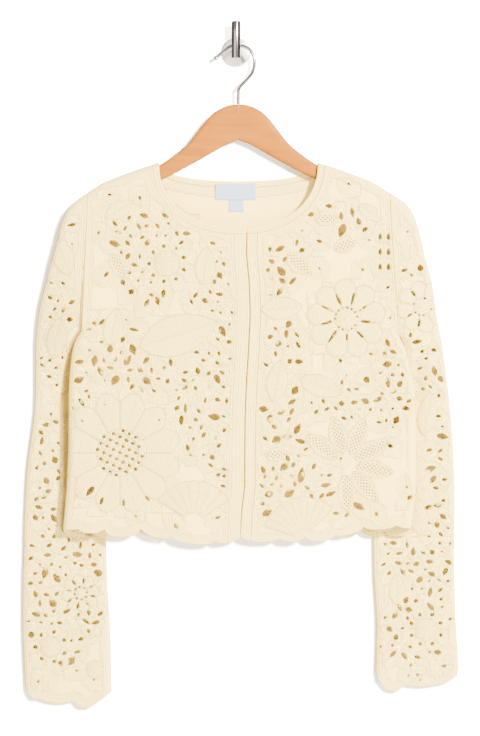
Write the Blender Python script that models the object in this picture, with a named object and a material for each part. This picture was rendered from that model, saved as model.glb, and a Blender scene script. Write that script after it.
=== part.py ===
"""Crochet cropped cardigan on a wooden hanger and a wall hook, at real size.

Metres, +Z up, and the front faces -Y. The wall is the plane Y = 0, and the origin is
the middle of the wall plate's back. Left and right are as seen from the front.
Each panel of cloth is drawn flat, as it is seen from the front, and then laid on the
surface that it hangs on. Flat points are (x, z) from the middle of the garment.
"""

import bisect
import math
import random
from collections import namedtuple

import bmesh
import bpy
from mathutils import Vector
from mathutils.geometry import delaunay_2d_cdt

# Cloth
WALL = 0.002
SEAM = 0.0003
RAISE = 0.0012
ROLL = 0.0075
HALF_DEPTH = 0.0075
BELLY = 0.0022
LABEL_THICK = 0.0008

# Where the garment hangs
CENTRE_X = 0.003
HANG_Y = -0.025
LEAN = 0.005
LEAN_TOP, LEAN_END = -0.300, -0.440

# Neckline, shoulders and armholes, from the middle of the garment
NECK_HALF = 0.099
NECK_TOP = -0.1415
FRONT_NECK_DROP = 0.081
BACK_NECK_DROP = 0.022
NECK_ROUND = 2.2
NECK_BAND = 0.008
Across = namedtuple("Across", "x z")
SHOULDER = (
    Across(0.099, -0.1415), Across(0.125, -0.1500), Across(0.147, -0.1580),
    Across(0.1695, -0.1672), Across(0.188, -0.1790),
)
LEFT_ARMPIT = Across(-0.1955, -0.350)
RIGHT_ARMPIT = Across(0.1990, -0.356)

# Side seams, from the armpit down
SideRow = namedtuple("SideRow", "z left right")
SIDES = (
    SideRow(-0.350, -0.1955, 0.1985), SideRow(-0.360, -0.2008, 0.2010),
    SideRow(-0.3665, -0.2042, 0.2042), SideRow(-0.374, -0.2060, 0.2075),
    SideRow(-0.383, -0.2074, 0.2096), SideRow(-0.395, -0.2088, 0.2128),
    SideRow(-0.410, -0.2099, 0.2170), SideRow(-0.430, -0.2108, 0.2200),
    SideRow(-0.490, -0.2110, 0.2212), SideRow(-0.550, -0.2135, 0.2205),
    SideRow(-0.605, -0.2185, 0.2145),
)

# Centre front: the line where the two bands meet
OpeningRow = namedtuple("OpeningRow", "z x")
OPENING = (
    OpeningRow(-0.222, 0.0105), OpeningRow(-0.255, 0.0098), OpeningRow(-0.290, 0.0132),
    OpeningRow(-0.330, 0.0145), OpeningRow(-0.376, 0.0123), OpeningRow(-0.414, 0.0099),
    OpeningRow(-0.455, 0.0082), OpeningRow(-0.545, 0.0074), OpeningRow(-0.575, 0.0040),
    OpeningRow(-0.620, 0.0014),
)
OPENING_GAP = 0.0012
LEFT_BAND, RIGHT_BAND = 0.0155, 0.0125

# Scallops: where each one starts, the height there, and how far it drops
Scallop = namedtuple("Scallop", "x z drop")
LEFT_HEM = (
    Scallop(-0.2185, -0.5980, 0.0015), Scallop(-0.1995, -0.5970, 0.0060),
    Scallop(-0.1675, -0.5970, 0.0118), Scallop(-0.1215, -0.5965, 0.0072),
    Scallop(-0.0830, -0.6060, 0.0075), Scallop(-0.0285, -0.6120, 0.0055),
    Scallop(0.0020, -0.6070, 0.0),
)
RIGHT_HEM = (
    Scallop(0.0020, -0.6060, 0.0070), Scallop(0.0515, -0.6080, 0.0062),
    Scallop(0.0826, -0.6066, 0.0078), Scallop(0.1207, -0.6038, 0.0056),
    Scallop(0.1562, -0.5950, 0.0045), Scallop(0.1960, -0.5925, 0.0022),
    Scallop(0.2155, -0.5960, 0.0),
)
BACK_SCALLOPS, BACK_HEM_Z, BACK_HEM_DROP = 14, -0.599, 0.009

# Cuffs: how far across from the outer fold, and how far below the cuff's straight line
CuffPoint = namedtuple("CuffPoint", "share drop")
CUFF_DEPTH = 0.028
LEFT_CUFF = (
    CuffPoint(0.037, 0.0090), CuffPoint(0.084, 0.0145), CuffPoint(0.165, 0.0142),
    CuffPoint(0.261, 0.0172), CuffPoint(0.398, 0.0182), CuffPoint(0.510, 0.0162),
    CuffPoint(0.570, 0.0140), CuffPoint(0.608, 0.0192), CuffPoint(0.664, 0.0220),
    CuffPoint(0.752, 0.0210), CuffPoint(0.825, 0.0160), CuffPoint(0.929, 0.0070),
)
RIGHT_CUFF = (
    CuffPoint(0.033, 0.0095), CuffPoint(0.109, 0.0150), CuffPoint(0.200, 0.0178),
    CuffPoint(0.309, 0.0196), CuffPoint(0.434, 0.0210), CuffPoint(0.553, 0.0200),
    CuffPoint(0.644, 0.0180), CuffPoint(0.695, 0.0222), CuffPoint(0.745, 0.0262),
    CuffPoint(0.828, 0.0252), CuffPoint(0.895, 0.0215), CuffPoint(0.970, 0.0110),
)
SCALLOP_STEPS = (-0.82, -0.35, 0.35, 0.82)

# Sleeves: rings from the armhole to the cuff. Each has its outer fold, its inner fold,
# the depth of its middle plane at both, and half its thickness.
Ring = namedtuple("Ring", "out_x out_z in_x in_z out_y in_y half")
LEFT_SLEEVE = (
    Ring(-0.1880, -0.1790, -0.1955, -0.3500, -0.0250, -0.0250, 0.0075),
    Ring(-0.2022, -0.1892, -0.1999, -0.3544, -0.0250, -0.0246, 0.0075),
    Ring(-0.2147, -0.2028, -0.2036, -0.3600, -0.0249, -0.0233, 0.0075),
    Ring(-0.2220, -0.2208, -0.2055, -0.3669, -0.0247, -0.0208, 0.0072),
    Ring(-0.2270, -0.2402, -0.2055, -0.3756, -0.0243, -0.0174, 0.0068),
    Ring(-0.2340, -0.2652, -0.2024, -0.3875, -0.0233, -0.0136, 0.0062),
    Ring(-0.2410, -0.2927, -0.1943, -0.4038, -0.0210, -0.0108, 0.0058),
    Ring(-0.2490, -0.3251, -0.1830, -0.4238, -0.0178, -0.0094, 0.0055),
    Ring(-0.2535, -0.3625, -0.1749, -0.4475, -0.0146, -0.0089, 0.0055),
    Ring(-0.2545, -0.4063, -0.1705, -0.4750, -0.0121, -0.0088, 0.0055),
    Ring(-0.2558, -0.4525, -0.1686, -0.5063, -0.0105, -0.0088, 0.0055),
    Ring(-0.2655, -0.5300, -0.1676, -0.5600, -0.0095, -0.0090, 0.0055),
    Ring(-0.2700, -0.6563, -0.1660, -0.6625, -0.0092, -0.0090, 0.0055),
    Ring(-0.2704, -0.7250, -0.1622, -0.7275, -0.0092, -0.0092, 0.0058),
    Ring(-0.2672, -0.7970, -0.1603, -0.8038, -0.0098, -0.0098, 0.0064),
    Ring(-0.2660, -0.8250, -0.1600, -0.8318, -0.0100, -0.0100, 0.0066),
)
RIGHT_SLEEVE = (
    Ring(0.1880, -0.1790, 0.1990, -0.3560, -0.0250, -0.0250, 0.0075),
    Ring(0.2040, -0.1893, 0.2037, -0.3606, -0.0250, -0.0246, 0.0075),
    Ring(0.2150, -0.1998, 0.2066, -0.3663, -0.0249, -0.0233, 0.0075),
    Ring(0.2210, -0.2145, 0.2080, -0.3738, -0.0247, -0.0208, 0.0072),
    Ring(0.2266, -0.2323, 0.2080, -0.3831, -0.0243, -0.0174, 0.0068),
    Ring(0.2330, -0.2606, 0.2058, -0.3950, -0.0233, -0.0136, 0.0062),
    Ring(0.2410, -0.2890, 0.1995, -0.4100, -0.0210, -0.0108, 0.0058),
    Ring(0.2468, -0.3288, 0.1889, -0.4288, -0.0178, -0.0094, 0.0055),
    Ring(0.2548, -0.3713, 0.1801, -0.4513, -0.0146, -0.0089, 0.0055),
    Ring(0.2610, -0.4150, 0.1751, -0.4763, -0.0121, -0.0088, 0.0055),
    Ring(0.2660, -0.4625, 0.1720, -0.5063, -0.0105, -0.0088, 0.0055),
    Ring(0.2704, -0.5400, 0.1699, -0.5650, -0.0095, -0.0090, 0.0055),
    Ring(0.2703, -0.6500, 0.1705, -0.6563, -0.0092, -0.0090, 0.0055),
    Ring(0.2720, -0.7125, 0.1739, -0.7150, -0.0092, -0.0092, 0.0058),
    Ring(0.2755, -0.7750, 0.1728, -0.7775, -0.0098, -0.0098, 0.0064),
    Ring(0.2750, -0.8030, 0.1726, -0.8055, -0.0100, -0.0100, 0.0066),
)
SLEEVE_START = 0.0006

# Folds: a soft ridge that stands out of the panel, or a trough where `out` is negative
Fold = namedtuple("Fold", "panel u v wide long lean out")
FOLDS = (
    Fold("front_left", -0.150, -0.330, 0.016, 0.090, 0.15, -0.0022),
    Fold("front_left", -0.060, -0.590, 0.026, 0.110, 0.05, 0.0030),
    Fold("front_left", -0.186, -0.575, 0.020, 0.070, -0.05, 0.0032),
    Fold("front_right", 0.192, -0.612, 0.026, 0.040, 0.0, 0.0075),
    Fold("front_right", 0.148, -0.600, 0.014, 0.060, 0.10, -0.0026),
    Fold("front_right", 0.070, -0.590, 0.028, 0.110, -0.05, 0.0030),
    Fold("front_right", 0.160, -0.400, 0.016, 0.080, -0.15, -0.0020),
    Fold("back", -0.120, -0.560, 0.030, 0.120, 0.05, 0.0028),
    Fold("back", 0.050, -0.560, 0.034, 0.140, -0.05, 0.0030),
    Fold("back", 0.155, -0.480, 0.020, 0.100, 0.10, -0.0020),
    Fold("sleeve_left_front", -0.2240, -0.4500, 0.018, 0.120, 0.0, -0.0015),
    Fold("sleeve_left_front", -0.2380, -0.6800, 0.018, 0.090, 0.05, 0.0016),
    Fold("sleeve_right_front", 0.2270, -0.4500, 0.018, 0.120, 0.0, -0.0015),
    Fold("sleeve_right_front", 0.2025, -0.6500, 0.018, 0.110, 0.03, -0.0013),
    Fold("sleeve_left_back", -0.2220, -0.5700, 0.018, 0.130, 0.0, -0.0012),
    Fold("sleeve_right_back", 0.2240, -0.5500, 0.018, 0.130, 0.0, -0.0012),
)

# Crocheted motifs: the middle, how far it reaches, a second size that each kind uses in
# its own way, how many petals, ribs or leaves it has, and how far it is turned in degrees
Motif = namedtuple("Motif", "kind u v reach wide count turn")
MOTIFS = {
    "front_left": (
        Motif("net_flower", -0.1474, -0.5031, 0.0760, 0.0290, 12, 15),
        Motif("leaf", -0.0750, -0.3560, 0.0500, 0.0250, 5, 18),
        Motif("rosette", -0.0893, -0.2675, 0.0160, 0.0225, 9, 0),
        Motif("leaf", -0.1560, -0.3460, 0.0240, 0.0120, 3, 78),
        Motif("leaf", -0.1480, -0.2000, 0.0200, 0.0100, 3, 30),
        Motif("leaf", -0.0420, -0.2700, 0.0240, 0.0120, 3, 84),
        Motif("leaf", -0.0440, -0.4560, 0.0300, 0.0140, 3, 80),
        Motif("net_leaf", -0.1500, -0.2700, 0.0170, 0.0090, 5, -60),
        Motif("fan", -0.0560, -0.5900, 0.0520, 0.0, 7, 90),
    ),
    "front_right": (
        Motif("daisy", 0.1340, -0.3363, 0.0500, 0.0140, 9, 12),
        Motif("net_leaf", 0.0758, -0.2680, 0.0190, 0.0115, 5, -40),
        Motif("net_leaf", 0.1095, -0.2113, 0.0150, 0.0090, 5, 0),
        Motif("net_leaf", 0.1333, -0.2440, 0.0150, 0.0090, 5, 20),
        Motif("leaf", 0.0540, -0.3230, 0.0260, 0.0140, 3, 5),
        Motif("leaf", 0.0480, -0.4140, 0.0260, 0.0130, 3, 80),
        Motif("leaf", 0.1020, -0.4200, 0.0270, 0.0130, 3, -20),
        Motif("leaf", 0.1640, -0.2040, 0.0170, 0.0085, 3, -35),
        Motif("spray", 0.1330, -0.5170, 0.0600, 0.0110, 7, 28),
        Motif("net_leaf", 0.0470, -0.5050, 0.0140, 0.0080, 5, 10),
        Motif("fan", 0.0820, -0.6100, 0.0520, 0.0, 9, 105),
    ),
    "back": (
        Motif("daisy", 0.1120, -0.4900, 0.0560, 0.0160, 10, 0),
        Motif("daisy", -0.1180, -0.3300, 0.0480, 0.0140, 9, 20),
        Motif("spray", -0.1050, -0.4950, 0.0560, 0.0110, 7, 40),
        Motif("leaf", -0.0200, -0.3500, 0.0380, 0.0190, 3, 60),
        Motif("leaf", 0.0250, -0.4350, 0.0300, 0.0150, 3, -50),
        Motif("leaf", -0.0450, -0.2400, 0.0300, 0.0150, 3, 10),
        Motif("leaf", 0.1650, -0.3650, 0.0260, 0.0130, 3, 75),
        Motif("fan", 0.0060, -0.6000, 0.0520, 0.0, 9, 90),
    ),
    "sleeve_left_front": (
        Motif("leaf", -0.2200, -0.2560, 0.0280, 0.0130, 3, 110),
        Motif("leaf", -0.2270, -0.3600, 0.0260, 0.0120, 3, 80),
        Motif("leaf", -0.2230, -0.5000, 0.0280, 0.0130, 3, 100),
        Motif("daisy", -0.1980, -0.6800, 0.0240, 0.0080, 8, 10),
        Motif("rosette", -0.2355, -0.7470, 0.0130, 0.0190, 7, 0),
        Motif("rosette", -0.1800, -0.7750, 0.0110, 0.0, 8, 0),
    ),
    "sleeve_right_front": (
        Motif("daisy", 0.2290, -0.3210, 0.0330, 0.0110, 8, 12),
        Motif("leaf", 0.2370, -0.4550, 0.0280, 0.0120, 3, 80),
        Motif("leaf", 0.2230, -0.5800, 0.0280, 0.0130, 3, 105),
        Motif("rosette", 0.2350, -0.7250, 0.0140, 0.0200, 8, 0),
        Motif("leaf", 0.1990, -0.6750, 0.0200, 0.0100, 3, 90),
    ),
    "sleeve_left_back": (
        Motif("leaf", -0.2260, -0.3500, 0.0300, 0.0140, 3, 70),
        Motif("leaf", -0.2250, -0.5200, 0.0280, 0.0130, 3, 80),
        Motif("rosette", -0.2150, -0.7000, 0.0140, 0.0200, 8, 0),
    ),
    "sleeve_right_back": (
        Motif("leaf", 0.2270, -0.3500, 0.0300, 0.0140, 3, 110),
        Motif("leaf", 0.2250, -0.5300, 0.0280, 0.0130, 3, 100),
        Motif("rosette", 0.2240, -0.6900, 0.0140, 0.0200, 8, 0),
    ),
}
SPRAY_SPAN = 230
SLOT_LONG, SLOT_WIDE = 0.0055, 0.0022
DISC_PITCH, DISC_HOLE = 0.0080, 0.0034
ROSETTE_HOLE = 0.0026

# Gaps worked between the motifs: the spacing, the most that are cut, and the seed
Ground = namedtuple("Ground", "pitch most seed")
GROUND = {
    "front_left": Ground(0.0148, 43, 3),
    "front_right": Ground(0.0148, 72, 8),
    "back": Ground(0.0250, 20, 5),
    "sleeve_left_front": Ground(0.0165, 14, 12),
    "sleeve_right_front": Ground(0.0165, 14, 9),
    "sleeve_left_back": Ground(0.0240, 2, 4),
    "sleeve_right_back": Ground(0.0240, 2, 6),
}
GAP_LONG, GAP_WIDE = (0.0029, 0.0044), (0.0022, 0.0031)
EDGE_MARGIN, FOLD_MARGIN = 0.0085, 0.0088
HOLE_APART = 0.0098
LADDER_U, LADDER_V = (0.1787, 0.1898), (-0.2337, -0.2525, -0.2712)

# Hanger, wall hook and labels
HangerRow = namedtuple("HangerRow", "x top under half")
HANGER = (
    HangerRow(0.00015, -0.0680, -0.1125, 0.0055), HangerRow(0.015, -0.0700, -0.1185, 0.0055),
    HangerRow(0.032, -0.0795, -0.1278, 0.0055), HangerRow(0.047, -0.0970, -0.1365, 0.0055),
    HangerRow(0.061, -0.1150, -0.1440, 0.0055), HangerRow(0.075, -0.1275, -0.1515, 0.0055),
    HangerRow(0.099, -0.1439, -0.1625, 0.0052), HangerRow(0.125, -0.1525, -0.1705, 0.0052),
    HangerRow(0.147, -0.1606, -0.1780, 0.0052), HangerRow(0.1680, -0.1698, -0.1856, 0.0049),
    HangerRow(0.178, -0.1772, -0.1890, 0.0034),
)
HANGER_FLAT, HANGER_CHAMFER = 0.4, 0.0038
HANGER_SECTIONS = 20
WIRE_RADIUS = 0.0021
WirePoint = namedtuple("WirePoint", "x z")
WIRE = (
    WirePoint(0.0028, -0.0677), WirePoint(0.0029, -0.0560), WirePoint(0.0040, -0.0480),
    WirePoint(0.0110, -0.0400), WirePoint(0.0190, -0.0305), WirePoint(0.0228, -0.0190),
    WirePoint(0.0222, -0.0085), WirePoint(0.0165, 0.0010), WirePoint(0.0080, 0.0050),
    WirePoint(0.0, 0.0057), WirePoint(-0.0075, 0.0042), WirePoint(-0.0140, -0.0008),
    WirePoint(-0.0195, -0.0055), WirePoint(-0.0240, -0.0092),
)
WIRE_STEPS = 2
# The wire's round tip: how far along, and how thick against the wire
WIRE_TIP = ((0.0, 1.15), (0.0014, 1.30), (0.0028, 1.18), (0.0038, 0.75))
PLATE_RADIUS, PLATE_THICK, PLATE_BEVEL = 0.018, 0.006, 0.0015
POST_RADIUS, BAR_RADIUS = 0.0035, 0.0057
BAR_Y, BAR_TOP, BAR_BOTTOM, BAR_BEVEL = -0.035, 0.0345, -0.0120, 0.0012
LABEL_BOX = (-0.0290, 0.0215, -0.1870, -0.1672)
TAB_BOX = (-0.0115, 0.0065, -0.2020, -0.1873)

# How finely the solids are drawn
EDGE_STEP = 0.017
OPENING_STEP = 0.026
NECK_STEP = 9
GRID_STEP = 0.023
ROLL_ROWS = (0.25, 1.0)
NEAREST = 0.0050
SLIVER = 2e-9
ON_FOLD = 0.0002
SLEEVE_ROWS, SLEEVE_PACKING, SLEEVE_LINE_STEP = 24, 1.25, 0.008
BACK_GRID = 1.6


def smooth(t):
    """0 to 1 as t goes from 0 to 1, flat at both ends."""
    t = min(max(t, 0.0), 1.0)
    return t * t * (3 - 2 * t)


def between(rows, key, value, column):
    """The column's value where the key column has this value, straight between rows."""
    rows = sorted(rows, key=lambda row: getattr(row, key))
    value = min(max(value, getattr(rows[0], key)), getattr(rows[-1], key))
    for low, high in zip(rows, rows[1:]):
        if value <= getattr(high, key):
            t = (value - getattr(low, key)) / (getattr(high, key) - getattr(low, key))
            return getattr(low, column) * (1 - t) + getattr(high, column) * t
    return getattr(rows[-1], column)


def signed_power(value, power):
    return math.copysign(abs(value) ** power, value)


# Outlines


def neck_line(drop, grow, end_x):
    """Points from the right shoulder along the neckline, or along a line `grow` outside it.

    The stations are the same for every line, so that the pieces on both sides of a seam
    keep their distance. The first ones are close together, where the cloth turns over.
    """
    power = 2 / NECK_ROUND

    def angle_at(depth):
        return math.asin((depth / (drop + grow)) ** (1 / power))

    top = grow * (NECK_TOP - between(SHOULDER, "x", NECK_HALF + NECK_BAND, "z")) / NECK_BAND
    close = [angle_at(top + share * ROLL) for share in (0.0,) + ROLL_ROWS]
    even = [math.radians(NECK_STEP * i) for i in range(1, int(180 / NECK_STEP))]
    angles = close + [a for a in even if close[-1] + 0.06 < a < math.pi - close[-1] - 0.06]
    angles += [math.pi - a for a in reversed(close)]
    points = []
    for angle in angles:
        x = (NECK_HALF + grow) * signed_power(math.cos(angle), power)
        z = NECK_TOP - (drop + grow) * signed_power(math.sin(angle), power)
        if x > end_x + 0.003 or end_x < -NECK_HALF:
            points.append((x, z))
    if end_x >= -NECK_HALF:
        points.append((end_x, neck_z(drop, grow, end_x)))
    return points


def neck_z(drop, grow, x):
    """The neckline's height at this x."""
    share = abs(x) / (NECK_HALF + grow)
    return NECK_TOP - (drop + grow) * (1 - share**NECK_ROUND) ** (1 / NECK_ROUND)


def opening_x(z):
    return between(OPENING, "z", z, "x")


def side_x(z, side):
    return between(SIDES, "z", z, side)


def scalloped(rows, from_x, to_x):
    """The hem from one x to another, as points from left to right."""
    points = []
    for row, after in zip(rows, rows[1:]):
        middle, half = (row.x + after.x) / 2, (after.x - row.x) / 2
        for t in (-1.0,) + SCALLOP_STEPS:
            x = middle + half * t
            base = row.z + (after.z - row.z) * (t + 1) / 2
            points.append((x, base - row.drop * math.sqrt(1 - t * t)))
    points.append((rows[-1].x, rows[-1].z))
    inside = [p for p in points if from_x + 0.002 < p[0] < to_x - 0.002]
    return [(from_x, hem_at(points, from_x))] + inside + [(to_x, hem_at(points, to_x))]


def hem_at(points, x):
    for (x0, z0), (x1, z1) in zip(points, points[1:]):
        if x0 <= x <= x1:
            return z0 + (z1 - z0) * (x - x0) / (x1 - x0)
    return points[0][1] if x < points[0][0] else points[-1][1]


def back_hem():
    left, right = SIDES[-1].left, SIDES[-1].right
    step = (right - left) / BACK_SCALLOPS
    return [Scallop(left + step * i, BACK_HEM_Z, BACK_HEM_DROP) for i in range(BACK_SCALLOPS + 1)]


def stepped(points, step):
    """The same line with points added, so that none are further apart than the step."""
    line = [points[0]]
    for start, end in zip(points, points[1:]):
        count = max(1, math.ceil(math.dist(start, end) / step))
        line += [
            (start[0] + (end[0] - start[0]) * i / count, start[1] + (end[1] - start[1]) * i / count)
            for i in range(1, count + 1)
        ]
    return line


def mirrored(points):
    return [(-x, z) for x, z in points]


def shoulder_line(from_x):
    """The right shoulder from the neck side out, starting at the given x."""
    rest = [(row.x, row.z) for row in SHOULDER if row.x > from_x + 0.003]
    return [(from_x, between(SHOULDER, "x", from_x, "z"))] + rest


def side_line(side, armpit, hem_z):
    """A side seam from the armpit down to the hem."""
    below = [row for row in SIDES if hem_z + 0.004 < row.z < armpit.z - 0.008]
    line = [(armpit.x, armpit.z)] + [(getattr(row, side), row.z) for row in below]
    return line + [(side_x(hem_z, side), hem_z)]


def armhole_line(armpit, shoulder_end):
    """The straight armhole from the armpit up, with stations where the cloth turns over."""
    length = math.dist(armpit, shoulder_end)
    return [
        (
            armpit[0] + (shoulder_end[0] - armpit[0]) * share,
            armpit[1] + (shoulder_end[1] - armpit[1]) * share,
        )
        for share in (place / length for place in armhole_places(length))
    ]


def armhole_places(length):
    """Where the points along an armhole of this length lie."""
    close = [0.0] + [share * ROLL for share in ROLL_ROWS]
    count = round((length - 2 * ROLL) / EDGE_STEP)
    even = [ROLL + (length - 2 * ROLL) * i / count for i in range(1, count)]
    return close + even + [length - place for place in reversed(close)]


def opening_line(offset, low, high):
    """The line beside the centre opening, from low to high, on stations that all share."""
    count = int(0.40 / OPENING_STEP)
    shared = [-0.230 - OPENING_STEP * i for i in range(1, count)]
    inner = [z for z in reversed(shared) if low + 0.005 < z < high - 0.005]
    return [(opening_x(z) + offset, z) for z in [low] + inner + [high]]


def body_side(side, neck_drop, end_x, hem):
    """Half a body panel's outline, from the hem up and over to the neck at end_x.

    The hem is given as points from left to right. The right half is drawn, and the left
    half is the same with its signs turned.
    """
    sign = 1 if side == "right" else -1
    armpit = RIGHT_ARMPIT if side == "right" else LEFT_ARMPIT
    grow = NECK_BAND + SEAM
    neck = neck_line(neck_drop, grow, sign * end_x)
    shoulder = stepped(shoulder_line(neck[0][0]), EDGE_STEP)
    hem_end = hem[-1] if side == "right" else hem[0]
    seam = stepped(side_line(side, armpit, hem_end[1]), EDGE_STEP)
    shoulder = [(sign * x, z) for x, z in shoulder]
    neck = [(sign * x, z) for x, z in neck]
    armhole = armhole_line((armpit.x, armpit.z), shoulder[-1])
    return seam[::-1] + armhole[1:] + shoulder[::-1][1:] + neck[1:]


def front_outline(side):
    """The left or right front without its band and its neck edging."""
    sign = 1 if side == "right" else -1
    band = RIGHT_BAND if side == "right" else LEFT_BAND
    offset = sign * (OPENING_GAP / 2 + band + SEAM)
    end_x = opening_x(-0.230) + offset
    if side == "right":
        hem = scalloped(RIGHT_HEM, opening_x(-0.61) + offset, SIDES[-1].right)
    else:
        hem = scalloped(LEFT_HEM, SIDES[-1].left, opening_x(-0.61) + offset)[::-1]
    half = body_side(side, FRONT_NECK_DROP, end_x, hem[::-1] if side == "left" else hem)
    opening = opening_line(offset, hem[0][1], half[-1][1])
    return hem[:-1] + half + opening[::-1][1:-1]


def back_outline():
    """The back without its neck edging."""
    hem = scalloped(back_hem(), SIDES[-1].left, SIDES[-1].right)
    right = body_side("right", BACK_NECK_DROP, 0.0, hem)
    left = body_side("left", BACK_NECK_DROP, 0.0, hem)
    return hem[:-1] + right + left[::-1][1:-1]


def band_outline(side):
    """A centre front band, from the hem up to the neck edging."""
    if side == "right":
        near, far, rows = OPENING_GAP / 2, OPENING_GAP / 2 + RIGHT_BAND, RIGHT_HEM
    else:
        near, far, rows = -OPENING_GAP / 2 - LEFT_BAND, -OPENING_GAP / 2, LEFT_HEM
    hem = scalloped(rows, opening_x(-0.61) + near, opening_x(-0.61) + far)
    tops = [
        neck_z(FRONT_NECK_DROP, NECK_BAND, opening_x(-0.230) + offset) - 2 * SEAM
        for offset in (near, far)
    ]
    left_side = opening_line(near, hem[0][1], tops[0])
    right_side = opening_line(far, hem[-1][1], tops[1])
    return hem[:-1] + right_side + left_side[::-1][:-1]


def neck_outline(side):
    """One stretch of the neck edging."""
    if side == "back":
        inner = neck_line(BACK_NECK_DROP, 0, -1.0)
        return neck_line(BACK_NECK_DROP, NECK_BAND, -1.0)[::-1] + inner
    sign = 1 if side == "right" else -1
    end_x = sign * (opening_x(-0.225) + sign * OPENING_GAP / 2)
    inner = neck_line(FRONT_NECK_DROP, 0, end_x)
    outer = neck_line(FRONT_NECK_DROP, NECK_BAND, end_x)
    return [(sign * x, z) for x, z in outer[::-1] + inner]


# Surfaces


def nearest_on(line, x, z):
    """The distance to a line of points, and the direction away from it."""
    best = None
    for (x0, z0), (x1, z1) in zip(line, line[1:]):
        along_x, along_z = x1 - x0, z1 - z0
        t = ((x - x0) * along_x + (z - z0) * along_z) / (along_x**2 + along_z**2)
        t = min(max(t, 0.0), 1.0)
        away = (x - x0 - along_x * t, z - z0 - along_z * t)
        distance = math.hypot(*away)
        if best is None or distance < best[0] - 1e-9:
            length = math.hypot(along_x, along_z)
            square = (-along_z / length, along_x / length)
            best = (distance, away, square)
    distance, away, square = best
    if distance > ON_FOLD:
        return distance, (away[0] / distance, away[1] / distance)
    return 0.0, square


def turned_edges():
    """The shoulders and side seams, where the front turns over into the back."""
    right_shoulder = [(row.x, row.z) for row in SHOULDER]
    return {
        "right": (
            right_shoulder[::-1],
            side_line("right", RIGHT_ARMPIT, -0.62)[::-1],
            right_shoulder[-1],
            (RIGHT_ARMPIT.x, RIGHT_ARMPIT.z),
        ),
        "left": (
            mirrored(right_shoulder),
            side_line("left", LEFT_ARMPIT, -0.62),
            mirrored(right_shoulder)[-1],
            (LEFT_ARMPIT.x, LEFT_ARMPIT.z),
        ),
    }


TURNED = turned_edges()


def body_edge(x, z):
    """How far a point of the body lies from its nearest turned edge, and which way."""
    shoulder, seam, top, armpit = TURNED["right" if x > 0 else "left"]
    length = math.dist(top, armpit)
    down = ((armpit[0] - top[0]) / length, (armpit[1] - top[1]) / length)
    if math.dist((x, z), top) < 1e-5:
        return 0.0, down
    if math.dist((x, z), armpit) < 1e-5:
        return 0.0, (-down[0], -down[1])
    return min(nearest_on(shoulder, x, z), nearest_on(seam, x, z))


def fold_depth(panel, u, v):
    """How far the panel's folds stand out at this point."""
    total = 0.0
    for fold in FOLDS:
        if fold.panel != panel:
            continue
        across = (u - fold.u - fold.lean * (v - fold.v)) / fold.wide
        along = (v - fold.v) / fold.long
        if abs(along) < 1:
            total += fold.out * math.exp(-across * across) * (1 - along * along) ** 2
    return total


def body_plane(z):
    """The depth of the plane midway between the front and the back."""
    return HANG_Y - LEAN * smooth((LEAN_TOP - z) / (LEAN_TOP - LEAN_END))


def body_depth(panel, x, z):
    """How far the cloth's middle stands from the body's middle plane, before it turns over."""
    belly = smooth((0.180 - abs(x)) / 0.09) * smooth((-0.20 - z) / 0.12)
    return HALF_DEPTH + BELLY * belly + fold_depth(panel, x, z)


def lay(point, plane, depth, face, distance, toward, slope, gap):
    """The middle of the cloth and its outward normal, turned over near an edge."""
    t = max(0.0, 1 - distance / ROLL)
    rise = math.sqrt(max(0.0, 1 - t * t))
    y = plane + face * (gap / 2 + depth * rise)
    normal = Vector((-face * slope[0] * rise, face * rise, -face * slope[1] * rise))
    normal += Vector((toward[0], 0, toward[1])) * (-depth / ROLL * t)
    return Vector((point[0] + CENTRE_X, y, point[1])), normal.normalized()


def body_surface(panel, face):
    """The surface that a front (face -1) or the back (face 1) hangs on."""
    near = 0.002

    def height(x, z):
        return body_plane(z) + face * body_depth(panel, x, z)

    def surface(x, z):
        distance, toward = body_edge(x, z)
        slope = (
            (height(x + near, z) - height(x - near, z)) / (2 * near),
            (height(x, z + near) - height(x, z - near)) / (2 * near),
        )
        depth = body_depth(panel, x, z)
        return lay((x, z), body_plane(z), depth, face, distance, toward, slope, SEAM)

    return surface


def ring_places(rings):
    """How far down the sleeve's middle each ring lies."""
    middles = [((r.out_x + r.in_x) / 2, (r.out_z + r.in_z) / 2) for r in rings]
    places = [0.0]
    for start, end in zip(middles, middles[1:]):
        places.append(places[-1] + math.dist(start, end))
    return places


def ring_at(rings, places, v):
    """The sleeve's ring at this distance down, on smooth curves through the rows."""
    v = min(max(v, 0.0), places[-1])
    i = next((k for k in range(len(places) - 2) if v <= places[k + 1]), len(places) - 2)
    span = places[i + 1] - places[i]
    t = (v - places[i]) / span
    values = []
    for name in Ring._fields:
        column = [getattr(ring, name) for ring in rings]

        def tangent(k):
            low, high = max(k - 1, 0), min(k + 1, len(column) - 1)
            return (column[high] - column[low]) / (places[high] - places[low])

        start, end = column[i], column[i + 1]
        out, into = tangent(i) * span, tangent(i + 1) * span
        values.append(
            (2 * t**3 - 3 * t**2 + 1) * start + (t**3 - 2 * t**2 + t) * out
            + (3 * t**2 - 2 * t**3) * end + (t**3 - t**2) * into
        )
    return Ring(*values)


def on_ring(ring, share):
    """The point of the view at this share of a ring, from its outer to its inner fold."""
    x = ring.out_x + (ring.in_x - ring.out_x) * share
    return x, ring.out_z + (ring.in_z - ring.out_z) * share


def sleeve_stations(rings):
    """The sleeve's rings at close, even steps down its length."""
    places = ring_places(rings)
    steps = math.ceil((places[-1] - SLEEVE_START) / SLEEVE_LINE_STEP)
    span = places[-1] - SLEEVE_START
    return [ring_at(rings, places, SLEEVE_START + span * i / steps) for i in range(steps + 1)]


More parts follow.
